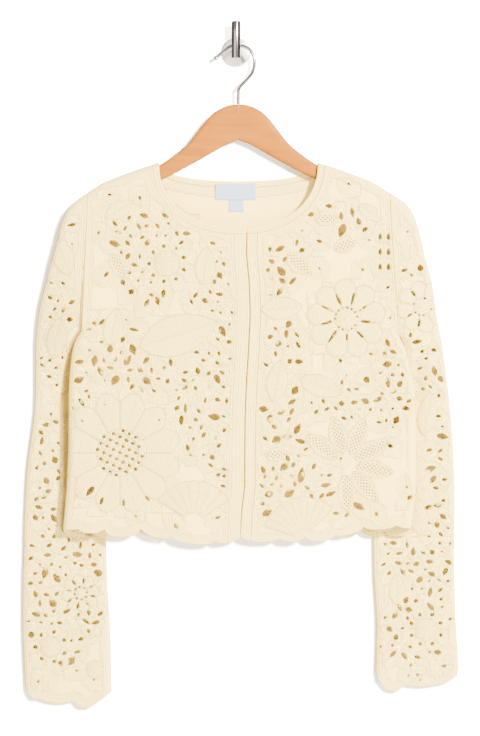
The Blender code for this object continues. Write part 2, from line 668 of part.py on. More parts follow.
def by_height(stations, height, column):
    """A column of the stations as a function of the height, straight between them."""
    rows = sorted((getattr(ring, height), getattr(ring, column)) for ring in stations)
    heights = [row[0] for row in rows]

    def value(z):
        i = min(max(bisect.bisect(heights, z), 1), len(rows) - 1)
        (low, start), (high, end) = rows[i - 1], rows[i]
        t = min(max((z - low) / (high - low), 0.0), 1.0)
        return start + (end - start) * t

    return value


def sleeve_form(panel, rings, face):
    """The surface that half a sleeve hangs on, and the way to its nearest fold."""
    near = 0.002
    stations = sleeve_stations(rings)
    outer = [on_ring(ring, 0.0) for ring in stations]
    inner = [on_ring(ring, 1.0) for ring in stations]
    top, armpit = outer[0], inner[0]
    lines = (outer, inner[::-1]) if outer[0][0] < 0 else (outer[::-1], inner)
    length = math.dist(top, armpit)
    down = ((armpit[0] - top[0]) / length, (armpit[1] - top[1]) / length)
    out_x, out_y, out_half = (
        by_height(stations, "out_z", column) for column in ("out_x", "out_y", "half")
    )
    in_x, in_y, in_half = (
        by_height(stations, "in_z", column) for column in ("in_x", "in_y", "half")
    )

    def edge(x, z):
        if math.dist((x, z), top) < 1e-5:
            return 0.0, down
        if math.dist((x, z), armpit) < 1e-5:
            return 0.0, (-down[0], -down[1])
        return min(nearest_on(lines[0], x, z), nearest_on(lines[1], x, z))

    def shape(x, z):
        armhole_x = armpit[0] + (top[0] - armpit[0]) * (z - armpit[1]) / (top[1] - armpit[1])
        start = out_x(z)
        width = (armhole_x if z > armpit[1] else in_x(z)) - start
        share = min(max((x - start) / width, 0.0), 1.0) if abs(width) > 1e-5 else 0.0
        plane = out_y(z) + (in_y(z) - out_y(z)) * smooth(1.15 * share)
        half = out_half(z) + (in_half(z) - out_half(z)) * share
        return plane, half + fold_depth(panel, x, z)

    def surface(x, z):
        plane, depth = shape(x, z)
        distance, toward = edge(x, z)
        slope = []
        for step in ((math.copysign(near, toward[0]), 0), (0, math.copysign(near, toward[1]))):
            beside = shape(x + step[0], z + step[1])
            rise = beside[0] + face * beside[1] - plane - face * depth
            slope.append(rise / (step[0] + step[1]))
        return lay((x, z), plane, depth, face, distance, toward, slope, 2 * SEAM)

    return surface, edge


# Motifs and gaps


def spread(motif):
    """A spray's own leaves, or the motif itself."""
    if motif.kind != "spray":
        return [motif]
    leaves = []
    for i in range(motif.count):
        turn = motif.turn + SPRAY_SPAN * (i / (motif.count - 1) - 0.5)
        angle = math.radians(turn)
        reach = 0.40 * motif.reach
        u = motif.u + math.cos(angle) * 0.62 * motif.reach
        v = motif.v + math.sin(angle) * 0.62 * motif.reach
        leaves.append(Motif("net_leaf", u, v, reach, motif.wide, 5, turn))
    return leaves


def motifs_of(panel):
    return [leaf for motif in MOTIFS.get(panel, ()) for leaf in spread(motif)]


def inward(motif, u, v):
    """A point in the motif's own directions: along its turn, and square to it."""
    angle = math.radians(motif.turn)
    du, dv = u - motif.u, v - motif.v
    return (
        du * math.cos(angle) + dv * math.sin(angle),
        dv * math.cos(angle) - du * math.sin(angle),
    )


def outward(motif, along, across):
    angle = math.radians(motif.turn)
    return (
        motif.u + along * math.cos(angle) - across * math.sin(angle),
        motif.v + along * math.sin(angle) + across * math.cos(angle),
    )


def leaf_half(motif, share):
    """Half a leaf's width at this share of its length, from -1 at its stem to 1 at its tip."""
    return motif.wide * max(0.0, 1 - share * share) ** 0.8 * (1 - 0.15 * share)


def covers(motif, u, v, margin):
    """Whether the motif, grown by a margin, lies over the point."""
    along, across = inward(motif, u, v)
    if motif.kind in ("leaf", "net_leaf"):
        long, wide = motif.reach + margin, motif.wide + margin
        return (along / long) ** 2 + (across / wide) ** 2 < 1
    distance = math.hypot(along, across)
    if motif.kind == "fan":
        turned = abs(math.atan2(across, along))
        return distance < motif.reach + margin and turned < math.radians(62)
    return distance < motif.reach + margin


def relief(panel_motifs, u, v):
    """How far the cloth's outer face is raised here."""
    height = 0.0
    for motif in panel_motifs:
        along, across = inward(motif, u, v)
        distance = math.hypot(along, across)
        if distance > 1.05 * motif.reach:
            continue
        angle = math.atan2(across, along)
        share = distance / motif.reach
        if motif.kind in ("leaf", "net_leaf"):
            half = leaf_half(motif, along / motif.reach) if abs(along) < motif.reach else 0.0
            if abs(across) < half:
                t = abs(across) / half
                rim = 1 - (2.2 * t - 1.3) ** 2 if motif.kind == "net_leaf" else 1 - t**3
                height = max(height, RAISE * max(0.15, rim))
        elif motif.kind == "fan":
            if abs(angle) < math.radians(58) and share < 1:
                ribs = 0.5 + 0.5 * math.cos(angle * 2 * math.pi * motif.count / math.radians(116))
                height = max(height, RAISE * ribs * min(1.0, 4 * (1 - share)))
        elif motif.kind == "rosette":
            lobes = 0.55 + 0.45 * math.cos(motif.count * angle)
            height = max(height, RAISE * lobes * min(1.0, 4 * (1 - share)))
        else:
            start = motif.wide / motif.reach
            if share > start:
                lobes = abs(math.cos(motif.count * angle / 2)) ** 0.7
                rise = min(1.0, 5 * (share - start), 4 * max(0.0, 1 - share))
                height = max(height, RAISE * lobes * rise)
    return height


def relief_points(motif):
    """Flat points at the ridges and the borders of a motif, which carry its relief."""
    points = []
    if motif.kind in ("leaf", "net_leaf"):
        for share in (-0.9, -0.45, 0.0, 0.45, 0.9):
            half = leaf_half(motif, share)
            rims = (-1.05, 0.0, 1.05)
            if motif.kind == "net_leaf" and abs(share) < 0.9:
                rims = (-1.05, -0.6, 0.6, 1.05)
            points += [outward(motif, share * motif.reach, half * rim) for rim in rims]
        return points
    if motif.kind == "fan":
        ribs = 2 * motif.count
        for i in range(ribs + 1):
            angle = math.radians(116) * (i / ribs - 0.5)
            for share in (0.5, 0.78, 1.0):
                if share > 0.6 or i % 2 == 0:
                    far = share * motif.reach
                    points.append(outward(motif, far * math.cos(angle), far * math.sin(angle)))
        return points
    halves = 2 * motif.count
    start = motif.wide / motif.reach if motif.kind != "rosette" else 0.0
    shares = (start + 0.2, 0.78, 1.0) if motif.kind != "rosette" else (0.6, 1.0)
    for i in range(halves):
        angle = 2 * math.pi * i / halves
        for share in shares:
            far = share * motif.reach
            points.append(outward(motif, far * math.cos(angle), far * math.sin(angle)))
    return points


Gap = namedtuple("Gap", "u v long wide turn sides")


def motif_gaps(motif):
    """The open gaps that belong to a motif: slots between petals, a net disc, a ring."""
    gaps = []
    if motif.kind in ("daisy", "net_flower"):
        share = 0.62 if motif.kind == "daisy" else 0.80
        size = 1.0 if motif.kind == "daisy" else 1.15
        size *= min(1.0, motif.reach / 0.034)
        for i in range(motif.count):
            angle = 2 * math.pi * (i + 0.5) / motif.count
            far = share * motif.reach
            u, v = outward(motif, far * math.cos(angle), far * math.sin(angle))
            turn = motif.turn + math.degrees(angle)
            gaps.append(Gap(u, v, SLOT_LONG * size, SLOT_WIDE * size, turn, 4))
    if motif.kind == "net_flower":
        count = int(motif.wide / DISC_PITCH)
        for i in range(-count, count + 1):
            for j in range(-count, count + 1):
                along, across = i * DISC_PITCH, j * DISC_PITCH
                if math.hypot(along, across) < motif.wide - 0.7 * DISC_HOLE:
                    u, v = outward(motif, along, across)
                    gaps.append(Gap(u, v, DISC_HOLE, DISC_HOLE, motif.turn + 45, 4))
    if motif.kind == "rosette" and motif.wide:
        for i in range(motif.count):
            angle = 2 * math.pi * (i + 0.5) / motif.count
            along, across = motif.wide * math.cos(angle), motif.wide * math.sin(angle)
            u, v = outward(motif, along, across)
            gaps.append(Gap(u, v, ROSETTE_HOLE * 1.1, ROSETTE_HOLE, motif.turn, 5))
    return gaps


def behind_label(panel, u, v):
    return panel == "back" and abs(u) < 0.045 and v > -0.212


def edge_distance(loop, u, v):
    return nearest_on(loop + [loop[0]], u, v)[0]


def inside(loop, u, v):
    """Whether a flat point lies inside a closed line."""
    found = False
    for (u0, v0), (u1, v1) in zip(loop, loop[1:] + loop[:1]):
        if (v0 > v) != (v1 > v) and u < u0 + (u1 - u0) * (v - v0) / (v1 - v0):
            found = not found
    return found


def ground_gaps(panel, loop, taken, from_fold):
    """Gaps in the ground between motifs, on a slanted lattice that is shaken a little."""
    ground = GROUND[panel]
    dice = random.Random(ground.seed)
    motifs = motifs_of(panel)
    low_u, high_u = min(p[0] for p in loop), max(p[0] for p in loop)
    low_v, high_v = min(p[1] for p in loop), max(p[1] for p in loop)
    row_step = ground.pitch * 0.80
    gaps = []
    for j in range(int((high_v - low_v) / row_step) + 1):
        for i in range(-1, int((high_u - low_u) / ground.pitch) + 2):
            u = low_u + (i + 0.5 * (j % 2)) * ground.pitch + dice.uniform(-0.3, 0.3) * ground.pitch
            v = low_v + j * row_step + dice.uniform(-0.3, 0.3) * row_step
            long, wide = dice.uniform(*GAP_LONG), dice.uniform(*GAP_WIDE)
            gap = Gap(u, v, long, wide, dice.uniform(0, 180), dice.choice((4, 5, 5)))
            if not inside(loop, u, v) or edge_distance(loop, u, v) < EDGE_MARGIN:
                continue
            if from_fold(u, v) < long + FOLD_MARGIN or behind_label(panel, u, v):
                continue
            if any(covers(motif, u, v, 0.003) for motif in motifs):
                continue
            if all(math.dist((u, v), (g.u, g.v)) > HOLE_APART for g in taken + gaps):
                gaps.append(gap)
    gaps.sort(key=lambda gap: -gap.long * gap.wide)
    return gaps[: ground.most]


def gaps_of(panel, loop, from_fold):
    """All the gaps of a panel, none of them where the cloth turns over."""
    gaps = [gap for motif in MOTIFS[panel] for gap in motif_gaps(motif)]
    if panel == "front_right":
        gaps += [Gap(u, v, 0.0036, 0.0023, 90, 4) for u in LADDER_U for v in LADDER_V]
    gaps = [gap for gap in gaps if inside(loop, gap.u, gap.v)]
    gaps = [gap for gap in gaps if edge_distance(loop, gap.u, gap.v) > gap.long + 0.0018]
    gaps = [gap for gap in gaps if from_fold(gap.u, gap.v) > gap.long + FOLD_MARGIN]
    return gaps + ground_gaps(panel, loop, gaps, from_fold)


def gap_loop(gap):
    """A gap's outline, as a few flat points."""
    angle = math.radians(gap.turn)
    points = []
    for i in range(gap.sides):
        a = 2 * math.pi * i / gap.sides
        along, across = gap.long * math.cos(a), gap.wide * math.sin(a)
        points.append((
            gap.u + along * math.cos(angle) - across * math.sin(angle),
            gap.v + along * math.sin(angle) + across * math.cos(angle),
        ))
    return points


# Solids


def material(name, colour, roughness, metallic=0.0):
    """A material with one colour, for a whole piece."""
    made = bpy.data.materials.get(name) or bpy.data.materials.new(name)
    made.use_nodes = True
    shader = made.node_tree.nodes["Principled BSDF"]
    shader.inputs["Base Color"].default_value = (*colour, 1)
    shader.inputs["Roughness"].default_value = roughness
    shader.inputs["Metallic"].default_value = metallic
    return made


def piece(name, mesh, finish, round_angle=None):
    """An object of this mesh, in the scene."""
    made = bpy.data.objects.new(name, mesh)
    bpy.context.scene.collection.objects.link(made)
    mesh.materials.append(finish)
    if round_angle:
        mesh.shade_smooth()
        mesh.set_sharp_from_angle(angle=math.radians(round_angle))
    return made


def spaced(points, kept, loops, margin):
    """The points that lie inside the panel, clear of its edges, its gaps and each other."""
    outline, holes = loops[0], loops[1:]
    reach = [(sum(p[0] for p in h) / len(h), sum(p[1] for p in h) / len(h)) for h in holes]
    result = []
    for point in points:
        if not inside(outline, *point) or edge_distance(outline, *point) < margin:
            continue
        if any(math.dist(point, other) < margin for other in kept + result):
            continue
        near = [h for h, c in zip(holes, reach) if math.dist(point, c) < 0.016]
        if any(inside(h, *point) or edge_distance(h, *point) < 0.6 * margin for h in near):
            continue
        result.append(point)
    return result


def flat_triangles(loops, points, links):
    """Triangles of a flat panel with its gaps left out, as indices into all its points."""
    coords, edges = [], []
    for loop in loops:
        first = len(coords)
        coords += loop
        edges += [(first + i, first + (i + 1) % len(loop)) for i in range(len(loop))]
    coords += points
    edges += links
    found = delaunay_2d_cdt([Vector(c) for c in coords], edges, [], 0, 1e-7, True)
    source = [ids[0] if ids else None for ids in found[3]]
    if None in source:
        raise ValueError("a panel's outline or a gap crosses another")
    boxes = [
        (min(p[0] for p in h), max(p[0] for p in h), min(p[1] for p in h), max(p[1] for p in h), h)
        for h in loops[1:]
    ]
    triangles = []
    for face in found[2]:
        corners = [source[i] for i in face]
        (u0, v0), (u1, v1), (u2, v2) = (coords[i] for i in corners)
        if abs((u1 - u0) * (v2 - v0) - (u2 - u0) * (v1 - v0)) < SLIVER:
            continue
        u = sum(coords[i][0] for i in corners) / 3
        v = sum(coords[i][1] for i in corners) / 3
        in_gap = any(a < u < b and c < v < d and inside(h, u, v) for a, b, c, d, h in boxes)
        if not in_gap and inside(loops[0], u, v):
            triangles.append(corners)
    return triangles


def finished_mesh(name, made):
    """The closed mesh, with its faces outward."""
    bmesh.ops.recalc_face_normals(made, faces=made.faces)
    if made.calc_volume(signed=True) < 0:
        bmesh.ops.reverse_faces(made, faces=made.faces)
    mesh = bpy.data.meshes.new(name)
    made.to_mesh(mesh)
    made.free()
    return mesh


def cloth_solid(name, loops, layers, links, surface, raised, finish):
    """A closed wall of cloth: a fine outer face over a plain inner one, and its rims.

    `layers` are the points inside the outer and the inner face. Each face is divided into
    triangles as it is seen from the front, with `links` among their edges.
    """
    made = bmesh.new()
    edge_points = [point for loop in loops for point in loop]
    sides = []
    for points, offset in zip(layers, (WALL / 2, -WALL / 2)):
        corners = []
        for index, (u, v) in enumerate(edge_points + points):
            middle, normal = surface(u, v)
            lift = raised(u, v) if offset > 0 and index >= len(edge_points) else 0.0
            corners.append(made.verts.new(middle + normal * (offset + lift)))
        for a, b, c in flat_triangles(loops, points, links):
            made.faces.new((corners[a], corners[b], corners[c]))
        sides.append(corners)
    outer, inner = sides
    first = 0
    for loop in loops:
        for i in range(len(loop)):
            a, b = first + i, first + (i + 1) % len(loop)
            made.faces.new((outer[a], inner[a], inner[b], outer[b]))
        first += len(loop)
    return piece(name, finished_mesh(name, made), finish)


def grid_points(loop, step):
    low_u, high_u = min(p[0] for p in loop), max(p[0] for p in loop)
    low_v, high_v = min(p[1] for p in loop), max(p[1] for p in loop)
    rows = int((high_v - low_v) / (0.87 * step))
    columns = int((high_u - low_u) / step)
    return [
        (low_u + (i + 0.5 * (j % 2)) * step, low_v + (j + 0.5) * 0.87 * step)
        for j in range(rows + 1)
        for i in range(columns + 1)
    ]


def woven_panel(name, loop, edge, surface, step, finish):
    """A panel with its gaps and its raised motifs; `edge` gives the way to its nearest fold."""

    def from_fold(x, z):
        return edge(x, z)[0]

    motifs = motifs_of(name)
    gaps = gaps_of(name, loop, from_fold)
    loops = [loop] + [gap_loop(gap) for gap in gaps]
    first = sum(len(closed) for closed in loops)
    turns, links = [], []
    for chain in fold_chains(loop, edge):
        numbers = []
        for item in chain:
            if not isinstance(item, tuple):
                numbers.append(item)
            elif inside(loop, *item) and edge_distance(loop, *item) > 0.0009:
                numbers.append(first + len(turns))
                turns.append(item)
            else:
                numbers.append(None)
        links += [pair for pair in zip(numbers, numbers[1:]) if None not in pair]
    grid = [point for point in grid_points(loop, step) if from_fold(*point) > 1.6 * ROLL]
    grid = spaced(grid, turns, loops, 0.30 * step)
    marks = [point for motif in motifs for point in relief_points(motif)]
    marks = [point for point in marks if from_fold(*point) > 1.4 * ROLL]
    marks = spaced(marks, turns, loops, NEAREST)
    fine_grid = spaced(grid, marks, loops, 0.006)

    def raised(x, z):
        return relief(motifs, x, z) * smooth((from_fold(x, z) / ROLL - 0.9) / 0.5)

    layers = (turns + marks + fine_grid, turns + grid)
    cloth_solid(name, loops, layers, links, surface, raised, finish)


def fan_ways(loop, edge, corner):
    """Two directions from a fold's end: one nearly along the armhole, one nearly square to it."""
    toward = edge(*corner)[1]
    side = (toward[1], -toward[0])
    spot = [corner[i] + (toward[i] + side[i]) * 0.3 * ROLL for i in (0, 1)]
    if not inside(loop, *spot):
        side = (-side[0], -side[1])
    return [
        (
            toward[0] * math.cos(angle) + side[0] * math.sin(angle),
            toward[1] * math.cos(angle) + side[1] * math.sin(angle),
        )
        for angle in (math.radians(40), math.radians(80))
    ]


def fold_chains(loop, edge):
    """Lines of points beside the folds of an outline, all as seen from the front.

    Each item is a new point, or the number of a point that the outline has there.
    """
    count = len(loop)
    folded = [edge(*point)[0] == 0 for point in loop]
    chains = []
    for start in (i for i in range(count) if folded[i] and not folded[i - 1]):
        run = [start]
        while folded[(run[-1] + 1) % count]:
            run.append((run[-1] + 1) % count)
        for far in (share * ROLL for share in ROLL_ROWS):
            chain = []
            for i in run:
                point = loop[i]
                beside = [(i - 1) % count, (i + 1) % count]
                beside += [(i - 2) % count, (i + 2) % count]
                ends = [
                    k for k in beside
                    if not folded[k] and abs(math.dist(loop[k], point) - far) < 1e-5
                ]
                if i in (run[0], run[-1]) and ends:
                    fan = [
                        (point[0] + way[0] * far, point[1] + way[1] * far)
                        for way in fan_ways(loop, edge, point)
                    ]
                    chain += [ends[0]] + fan if i == run[0] else fan[::-1] + [ends[0]]
                    continue
                toward = edge(*point)[1]
                spot = (point[0] + toward[0] * far, point[1] + toward[1] * far)
                if i in (run[0], run[-1]):
                    close = [k for k in beside if math.dist(loop[k], spot) < 0.5 * far + 0.0008]
                    chain.append(close[0] if close else spot)
                else:
                    chain.append(spot)
            chains.append(chain)
    return chains


def body_panel(name, loop, face, finish):
    """A front or the back."""
    step = GRID_STEP * (BACK_GRID if face > 0 else 1.0)
    woven_panel(name, loop, body_edge, body_surface(name, face), step, finish)


def plain_strip(name, loop, panel, face, finish):
    """A band or an edging: one narrow strip on the same surface as its panel."""
    surface = body_surface(panel, face)
    cloth_solid(name, [loop], ([], []), [], surface, lambda x, z: 0.0, finish)


def sleeve_half(name, rings, cuff, face, finish):
    """The front or the back half of a sleeve."""
    places = ring_places(rings)
    reach = places[-1] - CUFF_DEPTH - SLEEVE_START
    shares = [(i / SLEEVE_ROWS) ** SLEEVE_PACKING for i in range(SLEEVE_ROWS + 1)]
    rows = [ring_at(rings, places, SLEEVE_START + reach * share) for share in shares]
    outer_edge = [on_ring(ring, 0.0) for ring in rows]
    inner_edge = [on_ring(ring, 1.0) for ring in rows]
    head = armhole_line(outer_edge[0], inner_edge[0])
    hem = []
    for point in cuff:
        ring = ring_at(rings, places, SLEEVE_START + reach + point.drop)
        hem.append(on_ring(ring, point.share))
    loop = head + inner_edge[1:] + hem[::-1] + outer_edge[::-1][:-1]
    surface, edge = sleeve_form(name, rings, face)
    step = GRID_STEP * (BACK_GRID if face > 0 else 1.1)
    woven_panel(name, loop, edge, surface, step, finish)


def label(name, box, finish):
    """A woven tab that lies on the inside of the back neck."""
    surface = body_surface("back", 1)
    low_x, high_x, low_z, high_z = box
    columns = 5
    made = bmesh.new()
    layers = []
    for offset in (-WALL / 2 - SEAM, -WALL / 2 - SEAM - LABEL_THICK):
        rows = []
        for z in (low_z, high_z):
            row = []
            for i in range(columns + 1):
                middle, normal = surface(low_x + (high_x - low_x) * i / columns, z)
                row.append(made.verts.new(middle + normal * offset))
            rows.append(row)
        layers.append(rows)
    for i in range(columns):
        for rows in layers:
            made.faces.new((rows[0][i], rows[0][i + 1], rows[1][i + 1], rows[1][i]))
    for rim in (0, 1):
        for i in range(columns):
            near, far = layers[0][rim], layers[1][rim]
            made.faces.new((near[i], near[i + 1], far[i + 1], far[i]))
    for end in (0, columns):
        near, far = layers
        made.faces.new((near[0][end], near[1][end], far[1][end], far[0][end]))
    piece(name, finished_mesh(name, made), finish)


def through(values, t):
    """A smooth curve through four values, between the second and the third."""
    a, b, c, d = values
    return 0.5 * (
        2 * b + (c - a) * t + (2 * a - 5 * b + 4 * c - d) * t**2
        + (3 * b - a - 3 * c + d) * t**3
    )


def hanger_row(share):
    """The arm's section at this share of its length, on curves through the table's rows."""
    place = share * (len(HANGER) - 1)
    i = min(int(place), len(HANGER) - 2)
    before = HANGER[i - 1] if i else HANGER[1]._replace(x=-HANGER[1].x)
    after = HANGER[min(i + 2, len(HANGER) - 1)]
    if i == 0:
        before = before._replace(under=2 * HANGER[0].under - HANGER[1].under)
    columns = zip(before, HANGER[i], HANGER[i + 1], after)
    return HangerRow(*(through(values, place - i) for values in columns))


def hanger_arm(name, sign, finish):
    """One wooden arm: a bridge of chamfered sections from the mitre to the shoulder."""
    made = bmesh.new()
    rings = []
    for i in range(HANGER_SECTIONS + 1):
        row = hanger_row(i / HANGER_SECTIONS)
        flat, side = HANGER_FLAT * row.half, row.half
        upper, lower = row.top - HANGER_CHAMFER, row.under + HANGER_CHAMFER
        outline = (
            (-flat, row.top), (flat, row.top), (side, upper), (side, lower),
            (flat, row.under), (-flat, row.under), (-side, lower), (-side, upper),
        )
        verts = [made.verts.new((CENTRE_X + sign * row.x, HANG_Y + y, z)) for y, z in outline]
        rings.append(verts)
    for start, end in zip(rings, rings[1:]):
        for i in range(len(start)):
            j = (i + 1) % len(start)
            made.faces.new((start[i], start[j], end[j], end[i]))
    made.faces.new(rings[0])
    made.faces.new(rings[-1])
    piece(name, finished_mesh(name, made), finish, 40)


def hook_wire(finish):
    """The hanger's bent wire, a tube on a smooth curve through its points."""
    points = []
    for i in range(len(WIRE) - 1):
        before, start = WIRE[max(i - 1, 0)], WIRE[i]
        end, after = WIRE[i + 1], WIRE[min(i + 2, len(WIRE) - 1)]
        for k in range(WIRE_STEPS):
            columns = zip(before, start, end, after)
            points.append(tuple(through(values, k / WIRE_STEPS) for values in columns))
    tip = Vector(WIRE[-1])
    ahead = (tip - Vector(WIRE[-2])).normalized()
    points += [tuple(tip + ahead * far) for far, _ in WIRE_TIP]
    curve = bpy.data.curves.new("hanger_hook", "CURVE")
    curve.dimensions = "3D"
    curve.bevel_depth = WIRE_RADIUS
    curve.bevel_resolution = 2
    curve.use_fill_caps = True
    spline = curve.splines.new("POLY")
    spline.points.add(len(points) - 1)
    sizes = [1.0] * (len(points) - len(WIRE_TIP)) + [size for _, size in WIRE_TIP]
    for point, (x, z), size in zip(spline.points, points, sizes):
        point.co = (x, HANG_Y, z, 1)
        point.radius = size
    made = bpy.data.objects.new("hanger_hook", curve)
    bpy.context.scene.collection.objects.link(made)
    curve.materials.append(finish)


def turned_rod(name, radius, start, end, finish, sides, bevel, both_ends=True):
    """A round rod between two points, with both its rims bevelled, or only the last."""
    start, end = Vector(start), Vector(end)
    made = bmesh.new()
    bmesh.ops.create_cone(
        made, cap_ends=True, segments=sides, radius1=radius, radius2=radius,
        depth=(end - start).length,
    )
    if bevel:
        rims = [
            e for e in made.edges
            if any(len(f.verts) > 4 for f in e.link_faces)
            and (both_ends or e.verts[0].co.z > 0)
        ]
        bmesh.ops.bevel(
            made, geom=rims, offset=bevel, affect="EDGES", segments=2, profile=0.5, material=-1
        )
    turn = (end - start).to_track_quat("Z", "Y").to_matrix()
    bmesh.ops.rotate(made, cent=(0, 0, 0), matrix=turn, verts=made.verts)
    bmesh.ops.translate(made, vec=(start + end) / 2, verts=made.verts)
    mesh = bpy.data.meshes.new(name)
    made.to_mesh(mesh)
    made.free()
    piece(name, mesh, finish, 40)


def wall_hook(finish):
    """The plate on the wall, the post that carries the wire, and the bar at its end."""
    post_start, post_end = -PLATE_THICK - SEAM, BAR_Y + BAR_RADIUS + SEAM
    turned_rod(
        "wall_plate", PLATE_RADIUS, (0, 0, 0), (0, -PLATE_THICK, 0), finish, 32,
        PLATE_BEVEL, both_ends=False,
    )
    turned_rod("wall_post", POST_RADIUS, (0, post_start, 0), (0, post_end, 0), finish, 16, 0)
    turned_rod(
        "wall_bar", BAR_RADIUS, (0, BAR_Y, BAR_BOTTOM), (0, BAR_Y, BAR_TOP), finish, 20, BAR_BEVEL
    )


def main():
    for old in list(bpy.data.objects):
        bpy.data.objects.remove(old)
    cotton = material("cream_cotton", (0.87, 0.80, 0.66), 0.9)
    edging = material("cream_cotton_band", (0.88, 0.81, 0.68), 0.9)
    satin = material("white_satin", (0.88, 0.88, 0.90), 0.55)
    wood = material("pale_wood", (0.72, 0.43, 0.20), 0.45)
    chrome = material("chrome", (0.80, 0.80, 0.82), 0.15, 1.0)
    body_panel("back", back_outline(), 1, cotton)
    body_panel("front_left", front_outline("left"), -1, cotton)
    body_panel("front_right", front_outline("right"), -1, cotton)
    for side, rings, cuff in (
        ("left", LEFT_SLEEVE, LEFT_CUFF), ("right", RIGHT_SLEEVE, RIGHT_CUFF)
    ):
        sleeve_half(f"sleeve_{side}_front", rings, cuff, -1, cotton)
        sleeve_half(f"sleeve_{side}_back", rings, cuff, 1, cotton)
        plain_strip(f"band_{side}", band_outline(side), f"front_{side}", -1, edging)
        plain_strip(f"neck_{side}", neck_outline(side), f"front_{side}", -1, edging)
    plain_strip("neck_back", neck_outline("back"), "back", 1, edging)
    label("label_large", LABEL_BOX, satin)
    label("label_small", TAB_BOX, satin)
    hanger_arm("hanger_left", -1, wood)
    hanger_arm("hanger_right", 1, wood)
    hook_wire(chrome)
    wall_hook(chrome)


main()
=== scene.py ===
"""Crochet cropped cardigan on a wooden hanger and a wall hook: its looks.

Metres, but the tables are in millimetres. +Z is up, the front faces -Y, and the wall is the
plane Y = 0. Left and right are as seen from the front. Each panel of cloth is drawn flat, as
it is seen from the front, and then laid on the surface that it hangs on. Flat points are
(x, z) from the middle of the garment.
"""

import math
import random
from collections import namedtuple
from functools import partial

import bmesh
import bpy
import numpy as np
from mathutils import Matrix, Vector


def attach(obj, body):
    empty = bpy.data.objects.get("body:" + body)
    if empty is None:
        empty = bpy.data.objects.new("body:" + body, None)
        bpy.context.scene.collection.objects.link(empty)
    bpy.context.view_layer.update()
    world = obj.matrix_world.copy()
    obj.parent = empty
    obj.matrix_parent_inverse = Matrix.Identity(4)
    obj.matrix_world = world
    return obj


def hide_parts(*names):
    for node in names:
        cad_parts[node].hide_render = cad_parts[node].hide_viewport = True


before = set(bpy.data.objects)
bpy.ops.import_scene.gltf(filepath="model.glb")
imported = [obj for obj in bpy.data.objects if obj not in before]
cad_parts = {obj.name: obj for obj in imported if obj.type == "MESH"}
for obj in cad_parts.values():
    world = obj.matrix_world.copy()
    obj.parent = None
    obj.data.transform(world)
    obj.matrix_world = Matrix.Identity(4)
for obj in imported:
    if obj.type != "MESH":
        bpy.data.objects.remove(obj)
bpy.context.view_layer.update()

bl_info = {
    "name": "Crochet Cropped Cardigan",
    "version": (1, 0, 0),
    "blender": (4, 5, 0),
    "location": "3D View > Sidebar > Cardigan",
    "description": "Builds a crochet cardigan on a wooden hanger, with its wall hook",
    "category": "Object",
}

BODY = "root"
SIGN = {"left": -1, "right": 1}
NOT_LENGTHS = {"panel", "kind", "lean", "count", "turn", "angle", "seed", "few", "size", "share"}


def table(columns, *rows):
    """Rows with named columns. Lengths are given in millimetres and kept in metres."""
    kind = namedtuple("Row", columns)
    return tuple(
        kind(*(value if name in NOT_LENGTHS else round(value / 1000, 7)
               for name, value in zip(kind._fields, row)))
        for row in rows
    )


def tables(columns, **named):
    """A table of the same columns for each name."""
    return {name: table(columns, *rows) for name, rows in named.items()}


# Cloth
SEAM, BETWEEN_PANELS = 0.0003, 0.00004
ROLL, HALF_DEPTH, BELLY = 0.0075, 0.0075, 0.0022
# Where the belly ends, and over how far it rises: from the sides, and from the shoulders
BELLY_X, BELLY_Z = (0.180, 0.09), (-0.20, 0.12)
LABEL_THICK = 0.0006

# Where the garment hangs
CENTRE_X, HANG_Y = 0.003, -0.025
LEAN, LEAN_TOP, LEAN_END = 0.005, -0.300, -0.440

# Neckline, shoulders and armholes, from the middle of the garment
NECK_HALF, NECK_TOP = 0.099, -0.1415
FRONT_NECK_DROP, BACK_NECK_DROP = 0.081, 0.022
NECK_ROUND, NECK_BAND, NECK_STEPS = 2.2, 0.008, 56
SHOULDER = table("x z", (99, -141.5), (125, -150), (147, -158), (169.5, -167.2), (188, -179))
ARMPIT = {"left": (-0.1955, -0.350), "right": (0.1990, -0.356)}

# Side seams, from the armpit down
SIDES = table(
    "z left right",
    (-350, -195.5, 198.5), (-360, -200.8, 201), (-366.5, -204.2, 204.2), (-374, -206, 207.5),
    (-383, -207.4, 209.6), (-395, -208.8, 212.8), (-410, -209.9, 217), (-430, -210.8, 220),
    (-490, -211, 221.2), (-550, -213.5, 220.5), (-605, -218.5, 214.5),
)
SEAM_LOW = -0.62

# Centre front: the line where the two bands meet
OPENING = table(
    "z x",
    (-222, 10.5), (-255, 9.8), (-290, 13.2), (-330, 14.5), (-376, 12.3), (-414, 9.9),
    (-455, 8.2), (-545, 7.4), (-575, 4), (-620, 1.4),
)
OPENING_GAP = 0.0012
BAND = {"left": 0.0155, "right": 0.0125}
BAND_LOW, BAND_TOP, NECK_END = -0.61, -0.230, -0.225

# Scallops: where each one starts, the height there, and how far it drops
HEM = tables(
    "x z drop",
    left=(
        (-218.5, -598, 1.5), (-199.5, -597, 6), (-167.5, -597, 11.8), (-121.5, -596.5, 7.2),
        (-83, -606, 7.5), (-28.5, -612, 5.5), (2, -607, 0),
    ),
    right=(
        (2, -606, 7), (51.5, -608, 6.2), (82.6, -606.6, 7.8), (120.7, -603.8, 5.6),
        (156.2, -595, 4.5), (196, -592.5, 2.2), (215.5, -596, 0),
    ),
)
BACK_SCALLOPS, BACK_HEM_Z, BACK_HEM_DROP = 14, -0.599, 0.009
SCALLOP_STEPS = 16
# Table points that are closer than this to a line's end are left out
END_CLEAR, SHOULDER_CLEAR, OPENING_CLEAR = 0.001, 0.003, 0.005
HEM_CLEAR, ARMPIT_CLEAR = 0.004, 0.008

